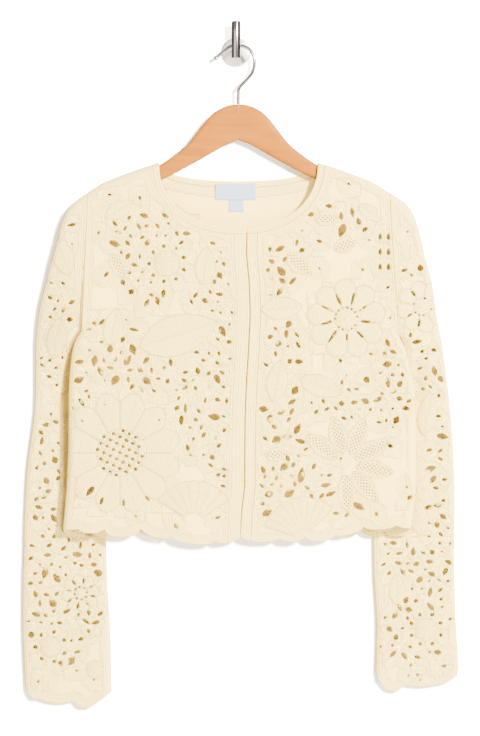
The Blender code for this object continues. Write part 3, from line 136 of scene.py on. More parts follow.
# Cuffs: how far across from the outer fold, and how far below the cuff's straight line
CUFF_DEPTH = 0.028
CUFF = tables(
    "share drop",
    left=(
        (0.037, 9), (0.084, 14.5), (0.165, 14.2), (0.261, 17.2), (0.398, 18.2), (0.51, 16.2),
        (0.57, 14), (0.608, 19.2), (0.664, 22), (0.752, 21), (0.825, 16), (0.929, 7),
    ),
    right=(
        (0.033, 9.5), (0.109, 15), (0.2, 17.8), (0.309, 19.6), (0.434, 21), (0.553, 20),
        (0.644, 18), (0.695, 22.2), (0.745, 26.2), (0.828, 25.2), (0.895, 21.5), (0.97, 11),
    ),
)

# Sleeves: rings from the armhole to the cuff. Each has its outer fold, its inner fold,
# the depth of its middle plane at both, and half its thickness.
SLEEVE = tables(
    "out_x out_z in_x in_z out_y in_y half",
    left=(
        (-188, -179, -195.5, -350, -25, -25, 7.5),
        (-202.2, -189.2, -199.9, -354.4, -25, -24.6, 7.5),
        (-214.7, -202.8, -203.6, -360, -24.9, -23.3, 7.5),
        (-222, -220.8, -205.5, -366.9, -24.7, -20.8, 7.2),
        (-227, -240.2, -205.5, -375.6, -24.3, -17.4, 6.8),
        (-234, -265.2, -202.4, -387.5, -23.3, -13.6, 6.2),
        (-241, -292.7, -194.3, -403.8, -21, -10.8, 5.8),
        (-249, -325.1, -183, -423.8, -17.8, -9.4, 5.5),
        (-253.5, -362.5, -174.9, -447.5, -14.6, -8.9, 5.5),
        (-254.5, -406.3, -170.5, -475, -12.1, -8.8, 5.5),
        (-255.8, -452.5, -168.6, -506.3, -10.5, -8.8, 5.5),
        (-265.5, -530, -167.6, -560, -9.5, -9, 5.5),
        (-270, -656.3, -166, -662.5, -9.2, -9, 5.5),
        (-270.4, -725, -162.2, -727.5, -9.2, -9.2, 5.8),
        (-267.2, -797, -160.3, -803.8, -9.8, -9.8, 6.4),
        (-266, -825, -160, -831.8, -10, -10, 6.6),
    ),
    right=(
        (188, -179, 199, -356, -25, -25, 7.5),
        (204, -189.3, 203.7, -360.6, -25, -24.6, 7.5),
        (215, -199.8, 206.6, -366.3, -24.9, -23.3, 7.5),
        (221, -214.5, 208, -373.8, -24.7, -20.8, 7.2),
        (226.6, -232.3, 208, -383.1, -24.3, -17.4, 6.8),
        (233, -260.6, 205.8, -395, -23.3, -13.6, 6.2),
        (241, -289, 199.5, -410, -21, -10.8, 5.8),
        (246.8, -328.8, 188.9, -428.8, -17.8, -9.4, 5.5),
        (254.8, -371.3, 180.1, -451.3, -14.6, -8.9, 5.5),
        (261, -415, 175.1, -476.3, -12.1, -8.8, 5.5),
        (266, -462.5, 172, -506.3, -10.5, -8.8, 5.5),
        (270.4, -540, 169.9, -565, -9.5, -9, 5.5),
        (270.3, -650, 170.5, -656.3, -9.2, -9, 5.5),
        (272, -712.5, 173.9, -715, -9.2, -9.2, 5.8),
        (275.5, -775, 172.8, -777.5, -9.8, -9.8, 6.4),
        (275, -803, 172.6, -805.5, -10, -10, 6.6),
    ),
)
SLEEVE_START, STATION, SLOPE_STEP = 0.0001, 0.008, 0.002

# Folds: a soft ridge that stands out of the panel, or a trough where `out` is negative
FOLDS = tables(
    "x z wide long lean out",
    front_left=(
        (-150, -330, 16, 90, 0.15, -2.2), (-60, -590, 26, 110, 0.05, 3),
        (-186, -575, 20, 70, -0.05, 3.2),
    ),
    front_right=(
        (192, -612, 26, 40, 0, 7.5), (148, -600, 14, 60, 0.1, -2.6),
        (70, -590, 28, 110, -0.05, 3), (160, -400, 16, 80, -0.15, -2),
    ),
    back=(
        (-120, -560, 30, 120, 0.05, 2.8), (50, -560, 34, 140, -0.05, 3),
        (155, -480, 20, 100, 0.1, -2),
    ),
    sleeve_left_front=((-224, -450, 18, 120, 0, -1.5), (-238, -680, 18, 90, 0.05, 1.6)),
    sleeve_right_front=((224, -408, 8, 62, 0, -4), (202.5, -650, 18, 110, 0.03, -1.3)),
    sleeve_left_back=((-222, -570, 18, 130, 0, -1.2),),
    sleeve_right_back=((224, -550, 18, 130, 0, -1.2),),
)

# Crocheted motifs: the middle, how far it reaches, a second size that each kind uses in
# its own way, how many petals, ribs or leaves it has, and how far it is turned in degrees
MOTIFS = tables(
    "kind x z reach wide count turn",
    front_left=(
        ("net_flower", -147.4, -503.1, 76, 29, 12, 15), ("leaf", -75, -356, 50, 25, 5, 18),
        ("rosette", -89.3, -267.5, 16, 22.5, 9, 0), ("leaf", -156, -346, 24, 12, 3, 78),
        ("leaf", -148, -200, 20, 10, 3, 30), ("leaf", -42, -270, 24, 12, 3, 84),
        ("net_leaf", -150, -270, 17, 9, 5, -60), ("fan", -56, -590, 52, 0, 7, 90),
    ),
    front_right=(
        ("daisy", 134, -336.3, 50, 14, 9, 12), ("net_leaf", 75.8, -268, 19, 11.5, 5, -40),
        ("net_leaf", 109.5, -211.3, 15, 9, 5, 0), ("net_leaf", 133.3, -244, 15, 9, 5, 20),
        ("leaf", 54, -323, 26, 14, 3, 5), ("leaf", 48, -414, 26, 13, 3, 80),
        ("leaf", 102, -420, 27, 13, 3, -20), ("leaf", 164, -204, 17, 8.5, 3, -35),
        ("spray", 133, -517, 60, 11, 7, 28), ("net_leaf", 47, -505, 14, 8, 5, 10),
        ("fan", 82, -610, 52, 0, 9, 105),
    ),
    back=(
        ("daisy", 112, -490, 56, 16, 10, 0), ("daisy", -118, -330, 48, 14, 9, 20),
        ("spray", -105, -495, 56, 11, 7, 40), ("leaf", -20, -350, 38, 19, 3, 60),
        ("leaf", 25, -435, 30, 15, 3, -50), ("leaf", -45, -240, 30, 15, 3, 10),
        ("leaf", 165, -365, 26, 13, 3, 75), ("fan", 6, -600, 52, 0, 9, 90),
    ),
    sleeve_left_front=(
        ("leaf", -220, -256, 28, 13, 3, 110), ("leaf", -227, -360, 26, 12, 3, 80),
        ("daisy", -198, -680, 24, 8, 8, 10), ("rosette", -235.5, -747, 13, 19, 7, 0),
        ("rosette", -180, -775, 11, 0, 8, 0),
    ),
    sleeve_right_front=(
        ("daisy", 229, -321, 33, 11, 8, 12), ("leaf", 237, -455, 28, 12, 3, 80),
        ("leaf", 223, -580, 28, 13, 3, 105), ("rosette", 235, -725, 14, 20, 8, 0),
        ("leaf", 199, -675, 20, 10, 3, 90),
    ),
    sleeve_left_back=(
        ("leaf", -226, -350, 30, 14, 3, 70), ("leaf", -225, -520, 28, 13, 3, 80),
        ("rosette", -215, -700, 14, 20, 8, 0),
    ),
    sleeve_right_back=(
        ("leaf", 227, -350, 30, 14, 3, 110), ("leaf", 225, -530, 28, 13, 3, 100),
        ("rosette", 224, -690, 14, 20, 8, 0),
    ),
)
SPRAY_SPAN, SPRAY_MIDDLE, SPRAY_LEAF = 230, 0.62, 0.40
FAN_HALF_ANGLE = math.radians(58)
DISC_PITCH, DISC_HOLE, DISC_TURN = 0.0088, 0.0023, -42
RING_PITCH, RING_HOLE = 0.0056, (0.0019, 0.0014)
ROSETTE_HOLE = (0.0026 * 1.1, 0.0026 * 0.9)
# Slots between petals: how long against the petals, how wide, and how far from the ring
SLOT_SHARE, SLOT_WIDE, SLOT_STEP, SLOT_FROM = 0.17, 0.0011, 0.0003, 0.004
LADDER_X, LADDER_Z, LADDER_HOLE = (0.1765, 0.1868), (-0.2337, -0.2525, -0.2712), (0.0040, 0.0019)
# Slits in the large flower: the way out from its middle, how far, and their half sizes
SLITS = table(
    "angle far long wide",
    (6, 60, 6, 1.3), (-33, 68, 6, 0.9), (-59, 67, 5.5, 1.5), (-86, 63, 5.8, 1.7),
    (-111, 65, 6.2, 2.2), (-128, 61, 8, 3.3), (-152, 58, 5, 0.9), (168, 54, 4, 0.9),
    (140, 62, 3, 0.9), (108, 64, 3, 0.9), (74, 64, 3, 0.9), (40, 64, 3, 0.9),
)

# Open work between the motifs: the spacing, the seed, and how many gaps of a hundredth
# stand outside the zones. Gaps are large in the zones, where `size` scales them.
GROUND = {row.panel: row for row in table(
    "panel pitch seed few",
    ("front_left", 14, 3, 0.16), ("front_right", 13.6, 8, 0.16), ("back", 15, 5, 0.4),
    ("sleeve_left_front", 13.8, 12, 0.25), ("sleeve_right_front", 13.4, 9, 0.3),
    ("sleeve_left_back", 15, 4, 0.5), ("sleeve_right_back", 15, 6, 0.5),
)}
ZONES = tables(
    "x z reach_x reach_z size",
    front_left=(
        (-112, -250, 50, 68, 1), (-166, -374, 36, 36, 1.3), (-34, -325, 26, 85, 0.85),
        (-58, -455, 22, 70, 0.85), (-120, -408, 40, 24, 1.2), (-25, -475, 19, 130, 1.1),
        (-197, -430, 14, 50, 1),
    ),
    front_right=(
        (52, -266, 30, 36, 1.2), (140, -220, 26, 26, 1.3), (84, -202, 14, 14, 1.1),
        (56, -372, 30, 32, 1.2), (50, -500, 32, 105, 1.25), (150, -442, 62, 30, 1),
        (112, -560, 50, 26, 1.4), (195, -400, 20, 70, 1),
    ),
    back=((0, -300, 160, 100, 0.8), (0, -500, 200, 110, 1)),
    sleeve_left_front=((-225, -300, 60, 120, 0.9), (-220, -610, 70, 160, 1.1)),
    sleeve_right_front=((225, -400, 70, 130, 1.1), (220, -640, 70, 130, 1)),
    sleeve_left_back=((-220, -500, 80, 280, 0.9),),
    sleeve_right_back=((220, -500, 80, 280, 0.9),),
)
GAP_LONG, GAP_WIDE = (0.0032, 0.0062), (0.0017, 0.0030)
GAP_ROUND, GAP_TAPER, GAP_REACH = (1.05, 1.7), 0.45, 0.012
ROW_SHARE, SHAKE, UNEVEN, GROUND_MARGIN = 0.86, 0.28, (0.68, 0.80), 0.0012
SMALLEST_GAP, BETWEEN_GAPS, OUTSIDE_SIZE = 0.0011, 0.0022, 0.72
EDGE_MARGIN, FOLD_MARGIN, MOTIF_MARGIN, BODY_MARGIN = 0.0034, 0.0030, 0.002, 0.012
PLAIN_NECK, PLAIN_OPENING = (0.102, 0.100), 0.008

# Where a sleeve lies in the body's shadow, which is painted on: the side, how far against the
# rows, how deep
BESIDE = {"sleeve_left_front": ("left", 1.0, 0.92), "sleeve_right_front": ("right", 1.5, 0.16)}
BESIDE_WIDE = table(
    "z wide", (-240, 0.1), (-340, 4), (-370, 7), (-430, 10.5), (-535, 7.5), (-590, 5.5))
# Painted shade: the body's shadow on a sleeve, and the shade in net openings and motif grooves
BODY_SHADOW_PAINT, PORE_SHADE = "#95791F", "#745528"
# A stitch is this long and its row this wide. A fine net's pattern comes again after this
# far along and across, with two openings in it, about 3.7 mm apart on the slant.
STITCH, ROW = 0.0024, 0.0030
NET_U, NET_V = 0.0050, 0.0054
# Relief: the widths of a leaf's vein, of a petal's vein, of the valleys between petals and
# of the trim along each edge, and how much of a motif's middle is its core
LEAF_VEIN, PETAL_VEIN, VALLEY, TRIM, TRIM_FADE = 0.0022, 0.0016, 0.0035, 0.0042, 0.0016
CORE_SHARE, FAN_FROM, GAP_DIP, GAP_DIP_WIDE = 0.80, 0.25, 0.45, 0.0018
# Where the relief fades at a seam, the painted shade of the inside grows from an edge, the
# body's painted shadow on a sleeve ends, the inside of the back neck stays free of painted
# shade, and the painted shade round a gap's rim ends
SEAM_FADE, INSIDE_SHADE_FADE, BESIDE_FADE = (0.35, 0.6), (0.002, 0.01), (0.70, 0.50)
NECK_FADE, GAP_RIM = 0.012, 0.0009

# Hanger, wall hook and labels
HANGER = table(
    "x top under half",
    (0.02, -68, -112.5, 5.5), (15, -70, -118.5, 5.5), (32, -79.5, -127.8, 5.5),
    (47, -97, -136.5, 5.5), (61, -115, -144, 5.5), (75, -127.5, -151.5, 5.5),
    (99, -143.9, -162.5, 5.2), (125, -152.5, -170.5, 5.2), (147, -160.6, -178, 5.2),
    (168, -169.8, -185.6, 4.9), (178, -177.2, -189, 3.4),
)
HANGER_SECTIONS, HANGER_SIDES, HANGER_ROUND = 72, 28, (0.62, 0.50)
WIRE = table(
    "x z",
    (2.8, -67.7), (2.9, -56), (4, -48), (11, -40), (19, -30.5), (22.8, -19), (22.2, -8.5),
    (16.5, 1), (8, 5), (0, 5.7), (-7.5, 4.2), (-14, -0.8), (-19.5, -5.5), (-24, -9.2),
)
WIRE_RADIUS, WIRE_STEPS, WIRE_SIDES = 0.0021, 6, 14
# The wire's round tip: how far along, and how thick against the wire
WIRE_TIP = table(
    "far size", (0, 1.15), (0.8, 1.26), (1.8, 1.3), (2.8, 1.18), (3.5, 0.92), (3.9, 0.5))
PLATE_RADIUS, PLATE_THICK, PLATE_BEVEL = 0.018, 0.006, 0.0015
POST_RADIUS, POST_BEVEL = 0.0035, 0.0002
BAR_RADIUS, BAR_BEVEL, BAR_Y, BAR_TOP, BAR_BOTTOM = 0.0057, 0.0008, -0.035, 0.0345, -0.0120
# Low and high x, low and high z
LABEL_BOX = (-0.0290, 0.0215, -0.1870, -0.1672)
TAB_BOX = (-0.0115, 0.0065, -0.2020, -0.1873)
LABEL_CELLS, LABEL_CLEAR, HEM_STITCH, HEM_HIGH = (40, 18), 0.0002, 0.0012, 0.00012
EDGING_CELL, EDGING_WIDE, SNAP_ROUNDS = 0.0014, 0.0105, 3
# Mesh points draw together this far from a fold, counted in rolls, and by this power
TURN_REACH, TURN_POWER = 1.6, 1.45
# A gap's area against its half sizes, and the least share of its box that a piece is cut to
GAP_AREA, LEAST_CUT = 2.6, 0.31

# Camera and wall
LOOK_AT, CAMERA_AWAY, SEEN_HEIGHT = (0.005, -0.02, -0.3975), 3.0, 0.92
SENSOR_MM, WALL_Y = 36.0, 0.0012


def smooth(t):
    """0 to 1 as t goes from 0 to 1, flat at both ends."""
    t = np.clip(t, 0.0, 1.0)
    return t * t * (3 - 2 * t)


def column(rows, name):
    return np.array([getattr(row, name) for row in rows])


def between(rows, key, value, name):
    """The named column's value where the key column has this value, straight between rows."""
    rows = sorted(rows, key=lambda row: getattr(row, key))
    return np.interp(value, column(rows, key), column(rows, name))


def on_curve(rows, i, t, before=None):
    """The values at t between rows i and i + 1, on a smooth curve through the rows."""
    last = len(rows) - 1
    four = (before or rows[max(i - 1, 0)], rows[i], rows[i + 1], rows[min(i + 2, last)])
    return [
        0.5 * (2 * b + (c - a) * t + (2 * a - 5 * b + 4 * c - d) * t**2
               + (3 * b - a - 3 * c + d) * t**3)
        for a, b, c, d in zip(*four)
    ]


def signed_power(value, power):
    return math.copysign(abs(value) ** power, value)


def turned(angle, a, b):
    """A pair of lengths turned by an angle."""
    return a * math.cos(angle) - b * math.sin(angle), a * math.sin(angle) + b * math.cos(angle)


def box_of(loop):
    """A closed line's lowest and highest x, and its lowest and highest z."""
    return tuple((min(values), max(values)) for values in zip(*loop))


# Outlines


def neck_line(drop, grow, end_x):
    """Points from the right shoulder along the neckline, or along a line `grow` outside it."""
    power = 2 / NECK_ROUND
    top = grow * (NECK_TOP - between(SHOULDER, "x", NECK_HALF + NECK_BAND, "z")) / NECK_BAND
    start = math.asin((top / (drop + grow)) ** (1 / power))
    points = []
    for i in range(NECK_STEPS + 1):
        angle = start + (math.pi - 2 * start) * i / NECK_STEPS
        x = (NECK_HALF + grow) * signed_power(math.cos(angle), power)
        z = NECK_TOP - (drop + grow) * signed_power(math.sin(angle), power)
        if x > end_x + END_CLEAR or end_x < -NECK_HALF:
            points.append((x, z))
    if end_x >= -NECK_HALF:
        points.append((end_x, neck_z(drop, grow, end_x)))
    return points


def neck_z(drop, grow, x):
    """The neckline's height at this x."""
    share = abs(x) / (NECK_HALF + grow)
    return NECK_TOP - (drop + grow) * (1 - share**NECK_ROUND) ** (1 / NECK_ROUND)


def opening_x(z):
    return float(between(OPENING, "z", z, "x"))


def scalloped(rows, from_x, to_x):
    """The hem from one x to another, as points from left to right."""
    points = []
    for row, after in zip(rows, rows[1:]):
        middle, half = (row.x + after.x) / 2, (after.x - row.x) / 2
        for i in range(SCALLOP_STEPS):
            t = 2 * i / SCALLOP_STEPS - 1
            base = row.z + (after.z - row.z) * (t + 1) / 2
            points.append((middle + half * t, base - row.drop * math.sqrt(1 - t * t)))
    points.append((rows[-1].x, rows[-1].z))
    start, end = (float(np.interp(x, *zip(*points))) for x in (from_x, to_x))
    kept = [p for p in points if from_x + END_CLEAR < p[0] < to_x - END_CLEAR]
    return [(from_x, start)] + kept + [(to_x, end)]


def back_hem():
    low = SIDES[-1]
    step = (low.right - low.left) / BACK_SCALLOPS
    scallop = HEM["left"][0]._replace(z=BACK_HEM_Z, drop=BACK_HEM_DROP)
    return [scallop._replace(x=low.left + step * i) for i in range(BACK_SCALLOPS + 1)]


def shoulder_line(from_x):
    """The right shoulder from the neck side out, starting at the given x."""
    rest = [(row.x, row.z) for row in SHOULDER if row.x > from_x + SHOULDER_CLEAR]
    return [(from_x, float(between(SHOULDER, "x", from_x, "z")))] + rest


def side_line(side, low_z):
    """A side seam from the armpit down to this height."""
    armpit = ARMPIT[side]
    below = [row for row in SIDES if low_z + HEM_CLEAR < row.z < armpit[1] - ARMPIT_CLEAR]
    line = [armpit] + [(getattr(row, side), row.z) for row in below]
    return line + [(float(between(SIDES, "z", low_z, side)), low_z)]


def opening_line(offset, low, high):
    """The line beside the centre opening, from low to high."""
    inner = [row.z for row in reversed(OPENING)
             if low + OPENING_CLEAR < row.z < high - OPENING_CLEAR]
    return [(opening_x(z) + offset, z) for z in [low] + inner + [high]]


def body_side(side, drop, end_x, low_z):
    """Half a body panel's outline, from the hem up and over to the neck at end_x."""
    sign = SIGN[side]
    neck = neck_line(drop, NECK_BAND + BETWEEN_PANELS, sign * end_x)
    over = shoulder_line(neck[0][0])[::-1] + neck[1:]
    return side_line(side, low_z)[::-1] + [(sign * x, z) for x, z in over]


def front_outline(side):
    """The left or right front without its band and its neck edging."""
    offset = SIGN[side] * (OPENING_GAP / 2 + BAND[side] + BETWEEN_PANELS)
    ends = sorted((opening_x(BAND_LOW) + offset, getattr(SIDES[-1], side)))
    hem = scalloped(HEM[side], *ends)[::SIGN[side]]
    half = body_side(side, FRONT_NECK_DROP, opening_x(BAND_TOP) + offset, hem[-1][1])
    opening = opening_line(offset, hem[0][1], half[-1][1])
    return hem[:-1] + half + opening[::-1][1:-1]


def back_outline():
    """The back without its neck edging."""
    hem = scalloped(back_hem(), SIDES[-1].left, SIDES[-1].right)
    right = body_side("right", BACK_NECK_DROP, 0.0, hem[-1][1])
    left = body_side("left", BACK_NECK_DROP, 0.0, hem[0][1])
    return hem[:-1] + right + left[::-1][1:-1]


def band_outline(side):
    """A centre front band, from the hem up to the neck edging."""
    near, far = sorted(SIGN[side] * (OPENING_GAP / 2 + wide) for wide in (0.0, BAND[side]))
    hem_x, top_x = opening_x(BAND_LOW), opening_x(BAND_TOP)
    hem = scalloped(HEM[side], hem_x + near, hem_x + far)
    left_side, right_side = (
        opening_line(end, low[1],
                     neck_z(FRONT_NECK_DROP, NECK_BAND, top_x + end) - 2 * BETWEEN_PANELS)
        for end, low in ((near, hem[0]), (far, hem[-1]))
    )
    return hem[:-1] + right_side + left_side[::-1][:-1]


def neck_outline(side):
    """One stretch of the neck edging."""
    sign, drop, end_x = 1, BACK_NECK_DROP, -1.0
    if side != "back":
        sign, drop = SIGN[side], FRONT_NECK_DROP
        end_x = sign * (opening_x(NECK_END) + sign * OPENING_GAP / 2)
    inner, outer = (neck_line(drop, grow, end_x) for grow in (0, NECK_BAND))
    return [(sign * x, z) for x, z in outer[::-1] + inner]


# Surfaces


def nearest_on(line, x, z):
    """Each point's distance to a line of points, and the direction away from it."""
    best = np.full(x.shape, np.inf)
    away_x, away_z, square_x, square_z = (np.zeros_like(x) for _ in range(4))
    for (x0, z0), (x1, z1) in zip(line, line[1:]):
        along_x, along_z = x1 - x0, z1 - z0
        length = math.hypot(along_x, along_z)
        if length < 1e-9:
            continue
        t = np.clip(((x - x0) * along_x + (z - z0) * along_z) / length**2, 0.0, 1.0)
        off_x, off_z = x - x0 - along_x * t, z - z0 - along_z * t
        distance = np.hypot(off_x, off_z)
        closer = distance < best - 1e-9
        best[closer] = distance[closer]
        away_x[closer], away_z[closer] = off_x[closer], off_z[closer]
        square_x[closer], square_z[closer] = -along_z / length, along_x / length
    on_line = best < 2e-5
    scale = np.where(on_line, 1.0, np.maximum(best, 1e-9))
    toward_x = np.where(on_line, square_x, away_x / scale)
    toward_z = np.where(on_line, square_z, away_z / scale)
    return np.where(on_line, 0.0, best), toward_x, toward_z


def from_outline(loop, x, z):
    """Each point's distance to a closed line, and the direction away from it."""
    return nearest_on(loop + [loop[0]], x, z)


def nearer(first, second):
    """Of two nearest_on results, the nearer one for each point."""
    closer = second[0] < first[0]
    return tuple(np.where(closer, b, a) for a, b in zip(first, second))


def turned_edges(side):
    """A shoulder and a side seam, where the front turns over into the back."""
    sign = SIGN[side]
    shoulder = [(sign * row.x, row.z) for row in SHOULDER]
    return shoulder[::-sign], side_line(side, SEAM_LOW)[::-sign]


TURNED = {side: turned_edges(side) for side in SIGN}


def body_edge(x, z):
    """How far each point of the body lies from its nearest turned edge, and which way."""
    left, right = (nearer(*(nearest_on(line, x, z) for line in TURNED[side])) for side in SIGN)
    return tuple(np.where(x > 0, a, b) for a, b in zip(right, left))


def fold_depth(panel, x, z):
    """How far the panel's folds stand out."""
    total = np.zeros_like(x)
    for fold in FOLDS[panel]:
        across = (x - fold.x - fold.lean * (z - fold.z)) / fold.wide
        along = np.clip((z - fold.z) / fold.long, -1, 1)
        total += fold.out * np.exp(-across * across) * (1 - along * along) ** 2
    return total


def body_plane(z):
    """The depth of the plane midway between the front and the back."""
    return HANG_Y - LEAN * smooth((LEAN_TOP - z) / (LEAN_TOP - LEAN_END))


def body_depth(panel, x, z):
    """How far the cloth's middle stands from the middle plane, before it turns over."""
    belly = smooth((BELLY_X[0] - np.abs(x)) / BELLY_X[1])
    belly *= smooth((BELLY_Z[0] - z) / BELLY_Z[1])
    return HALF_DEPTH + BELLY * belly + fold_depth(panel, x, z)


def lay(x, z, plane, depth, face, edge, slope, gap):
    """The middle of the cloth and its outward normal, turned over near an edge."""
    distance, toward_x, toward_z = edge
    t = np.maximum(0.0, 1 - distance / ROLL)
    rise = np.sqrt(np.maximum(0.0, 1 - t * t))
    middle = np.stack([x + CENTRE_X, plane + face * (gap / 2 + depth * rise), z], axis=1)
    normal = np.stack([-face * slope[0] * rise, face * rise, -face * slope[1] * rise], axis=1)
    pull = -depth / ROLL * t
    normal[:, 0] += toward_x * pull
    normal[:, 2] += toward_z * pull
    return middle, normal / np.linalg.norm(normal, axis=1, keepdims=True)


def body_surface(panel, face):
    """The surface that a front (face -1) or the back (face 1) hangs on."""

    def height(x, z):
        return body_plane(z) + face * body_depth(panel, x, z)

    def surface(x, z):
        slope = [
            (height(x + dx, z + dz) - height(x - dx, z - dz)) / (2 * SLOPE_STEP)
            for dx, dz in ((SLOPE_STEP, 0), (0, SLOPE_STEP))
        ]
        depth = body_depth(panel, x, z)
        return lay(x, z, body_plane(z), depth, face, body_edge(x, z), slope, SEAM)

    return surface, body_edge


def ring_places(rings):
    """How far down the sleeve's middle each ring lies."""
    middles = [on_ring(ring, 0.5) for ring in rings]
    places = [0.0]
    for start, end in zip(middles, middles[1:]):
        places.append(places[-1] + math.dist(start, end))
    return places


def ring_at(rings, places, v):
    """The sleeve's ring at this distance down, on smooth curves through the rows."""
    v = min(max(v, 0.0), places[-1])
    last = len(places) - 2
    i = next((k for k in range(last) if v <= places[k + 1]), last)
    span = places[i + 1] - places[i]
    t = (v - places[i]) / span
    values = np.array(rings)

    def tangent(k):
        low, high = max(k - 1, 0), min(k + 1, len(rings) - 1)
        return (values[high] - values[low]) / (places[high] - places[low]) * span

    ring = (
        (2 * t**3 - 3 * t**2 + 1) * values[i] + (t**3 - 2 * t**2 + t) * tangent(i)
        + (3 * t**2 - 2 * t**3) * values[i + 1] + (t**3 - t**2) * tangent(i + 1)
    )
    return rings[0]._make(ring.tolist())


def on_ring(ring, share):
    """The point of the view at this share of a ring, from its outer to its inner fold."""
    x = ring.out_x + (ring.in_x - ring.out_x) * share
    return x, ring.out_z + (ring.in_z - ring.out_z) * share


def sleeve_folds(rings, far=0.0):
    """Rings at close, even steps, down to `far` above the last one, and both folds' lines."""
    places = ring_places(rings)
    span = places[-1] - far - SLEEVE_START
    steps = math.ceil(span / STATION)
    stations = [ring_at(rings, places, SLEEVE_START + span * i / steps) for i in range(steps + 1)]
    return stations, *([on_ring(ring, share) for ring in stations] for share in (0.0, 1.0))


def sleeve_outline(side):
    """Half a sleeve as it is seen from the front."""
    rings = SLEEVE[side]
    _, outer, inner = sleeve_folds(rings, CUFF_DEPTH)
    places = ring_places(rings)
    hem = [on_ring(ring_at(rings, places, places[-1] - CUFF_DEPTH + point.drop), point.share)
           for point in CUFF[side]]
    return [outer[0]] + inner + hem[::-1] + outer[::-1][:-1]


def sleeve_surface(panel, side, face):
    """The surface that half a sleeve hangs on, and the way to its nearest fold."""
    stations, outer, inner = sleeve_folds(SLEEVE[side])
    top, armpit = outer[0], inner[0]
    lines = (outer, inner[::-1]) if side == "left" else (outer[::-1], inner)

    def edge(x, z):
        return nearer(*(nearest_on(line, x, z) for line in lines))

    def shape(x, z):
        armhole_x = armpit[0] + (top[0] - armpit[0]) * (z - armpit[1]) / (top[1] - armpit[1])
        at_outer, at_inner = (partial(between, stations, key, z) for key in ("out_z", "in_z"))
        start = at_outer("out_x")
        width = np.where(z > armpit[1], armhole_x, at_inner("in_x")) - start
        wide = np.abs(width) > 1e-5
        share = np.where(wide, np.clip((x - start) / np.where(wide, width, 1), 0, 1), 0)
        out_y, out_half = at_outer("out_y"), at_outer("half")
        plane = out_y + (at_inner("in_y") - out_y) * smooth(1.15 * share)
        depth = out_half + (at_inner("half") - out_half) * share
        return plane, depth + fold_depth(panel, x, z)

    def surface(x, z):
        plane, depth = shape(x, z)
        way = edge(x, z)
        slope = []
        for step_x, step_z in (
            (np.copysign(SLOPE_STEP, way[1]), 0.0), (0.0, np.copysign(SLOPE_STEP, way[2]))
        ):
            beside = shape(x + step_x, z + step_z)
            rise = beside[0] + face * beside[1] - plane - face * depth
            slope.append(rise / (step_x + step_z))
        return lay(x, z, plane, depth, face, way, slope, 2 * SEAM)

    return surface, edge


# Motifs and gaps


def spread(motif):
    """A spray's own leaves, or the motif itself."""
    if motif.kind != "spray":
        return [motif]
    leaf = motif._replace(kind="net_leaf", reach=SPRAY_LEAF * motif.reach, count=5)
    leaves = []
    for i in range(motif.count):
        turn = motif.turn + SPRAY_SPAN * (i / (motif.count - 1) - 0.5)
        x, z = outward(motif._replace(turn=turn), SPRAY_MIDDLE * motif.reach, 0.0)
        leaves.append(leaf._replace(x=x, z=z, turn=turn))
    return leaves


def motifs_of(panel):
    return [leaf for motif in MOTIFS.get(panel, ()) for leaf in spread(motif)]


def inward(motif, x, z):
    """A point in the motif's own directions: along its turn, and square to it."""
    return turned(-math.radians(motif.turn), x - motif.x, z - motif.z)


def outward(motif, along, across):
    x, z = turned(math.radians(motif.turn), along, across)
    return motif.x + x, motif.z + z


def leaf_half(motif, share):
    """Half a leaf's width at this share of its length, from -1 at its stem to 1 at its tip."""
    return motif.wide * np.maximum(0.0, 1 - share * share) ** 0.8 * (1 - 0.15 * share)


def covers(motif, x, z, margin):
    """Whether the motif, grown by a margin, lies over the point."""
    along, across = inward(motif, x, z)
    if motif.kind in ("leaf", "net_leaf"):
        long, wide = motif.reach + margin, motif.wide + margin
        return (along / long) ** 2 + (across / wide) ** 2 < 1
    angle = abs(math.atan2(across, along)) if motif.kind == "fan" else 0
    return math.hypot(along, across) < motif.reach + margin and angle < FAN_HALF_ANGLE + 0.05


Gap = namedtuple("Gap", "x z long wide turn round")


def gap_at(motif, far, angle, long, wide, turn, round_):
    """A gap this far from a motif's middle. Its angle and turn add to the motif's turn."""
    place = outward(motif, far * math.cos(angle), far * math.sin(angle))
    return Gap(*place, long, wide, motif.turn + turn, round_)


def motif_gaps(motif):
    """The open gaps that belong to a motif: slots between petals, a net disc, a ring."""
    gaps = []
    half_steps = [2 * math.pi * (i + 0.5) / motif.count for i in range(motif.count)]
    if motif.kind == "daisy":
        dots = int(2 * math.pi * motif.wide / RING_PITCH)
        for i in range(dots):
            angle = 2 * math.pi * i / dots
            gaps.append(gap_at(motif, motif.wide, angle, *RING_HOLE, math.degrees(angle), 1.8))
        for i, angle in enumerate(half_steps):
            long = SLOT_SHARE * motif.reach * (1 + 0.25 * (i % 2))
            wide = SLOT_WIDE + SLOT_STEP * (i % 3)
            far = motif.wide + SLOT_FROM + long
            gaps.append(gap_at(motif, far, angle, long, wide, math.degrees(angle) + 4, 1.6))
    if motif.kind == "net_flower":
        upright = motif._replace(turn=0)
        for slit in SLITS:
            angle = math.radians(slit.angle)
            gaps.append(gap_at(upright, slit.far, angle, slit.long, slit.wide, slit.angle, 1.5))
        count = int(motif.wide / DISC_PITCH) + 1
        disc = motif._replace(turn=motif.turn + DISC_TURN)
        for i in range(-count, count + 1):
            for j in range(-count, count + 1):
                along, across = i * DISC_PITCH, j * DISC_PITCH
                if math.hypot(along, across) < motif.wide - 0.5 * DISC_HOLE:
                    gaps.append(Gap(*outward(disc, along, across), 1.15 * DISC_HOLE,
                                    0.85 * DISC_HOLE, disc.turn + 20 * (i % 2), 1.7))
    if motif.kind == "rosette" and motif.wide:
        for i, angle in enumerate(half_steps):
            gaps.append(gap_at(motif, motif.wide, angle, *ROSETTE_HOLE, 40 * i, 1.4))
    return gaps


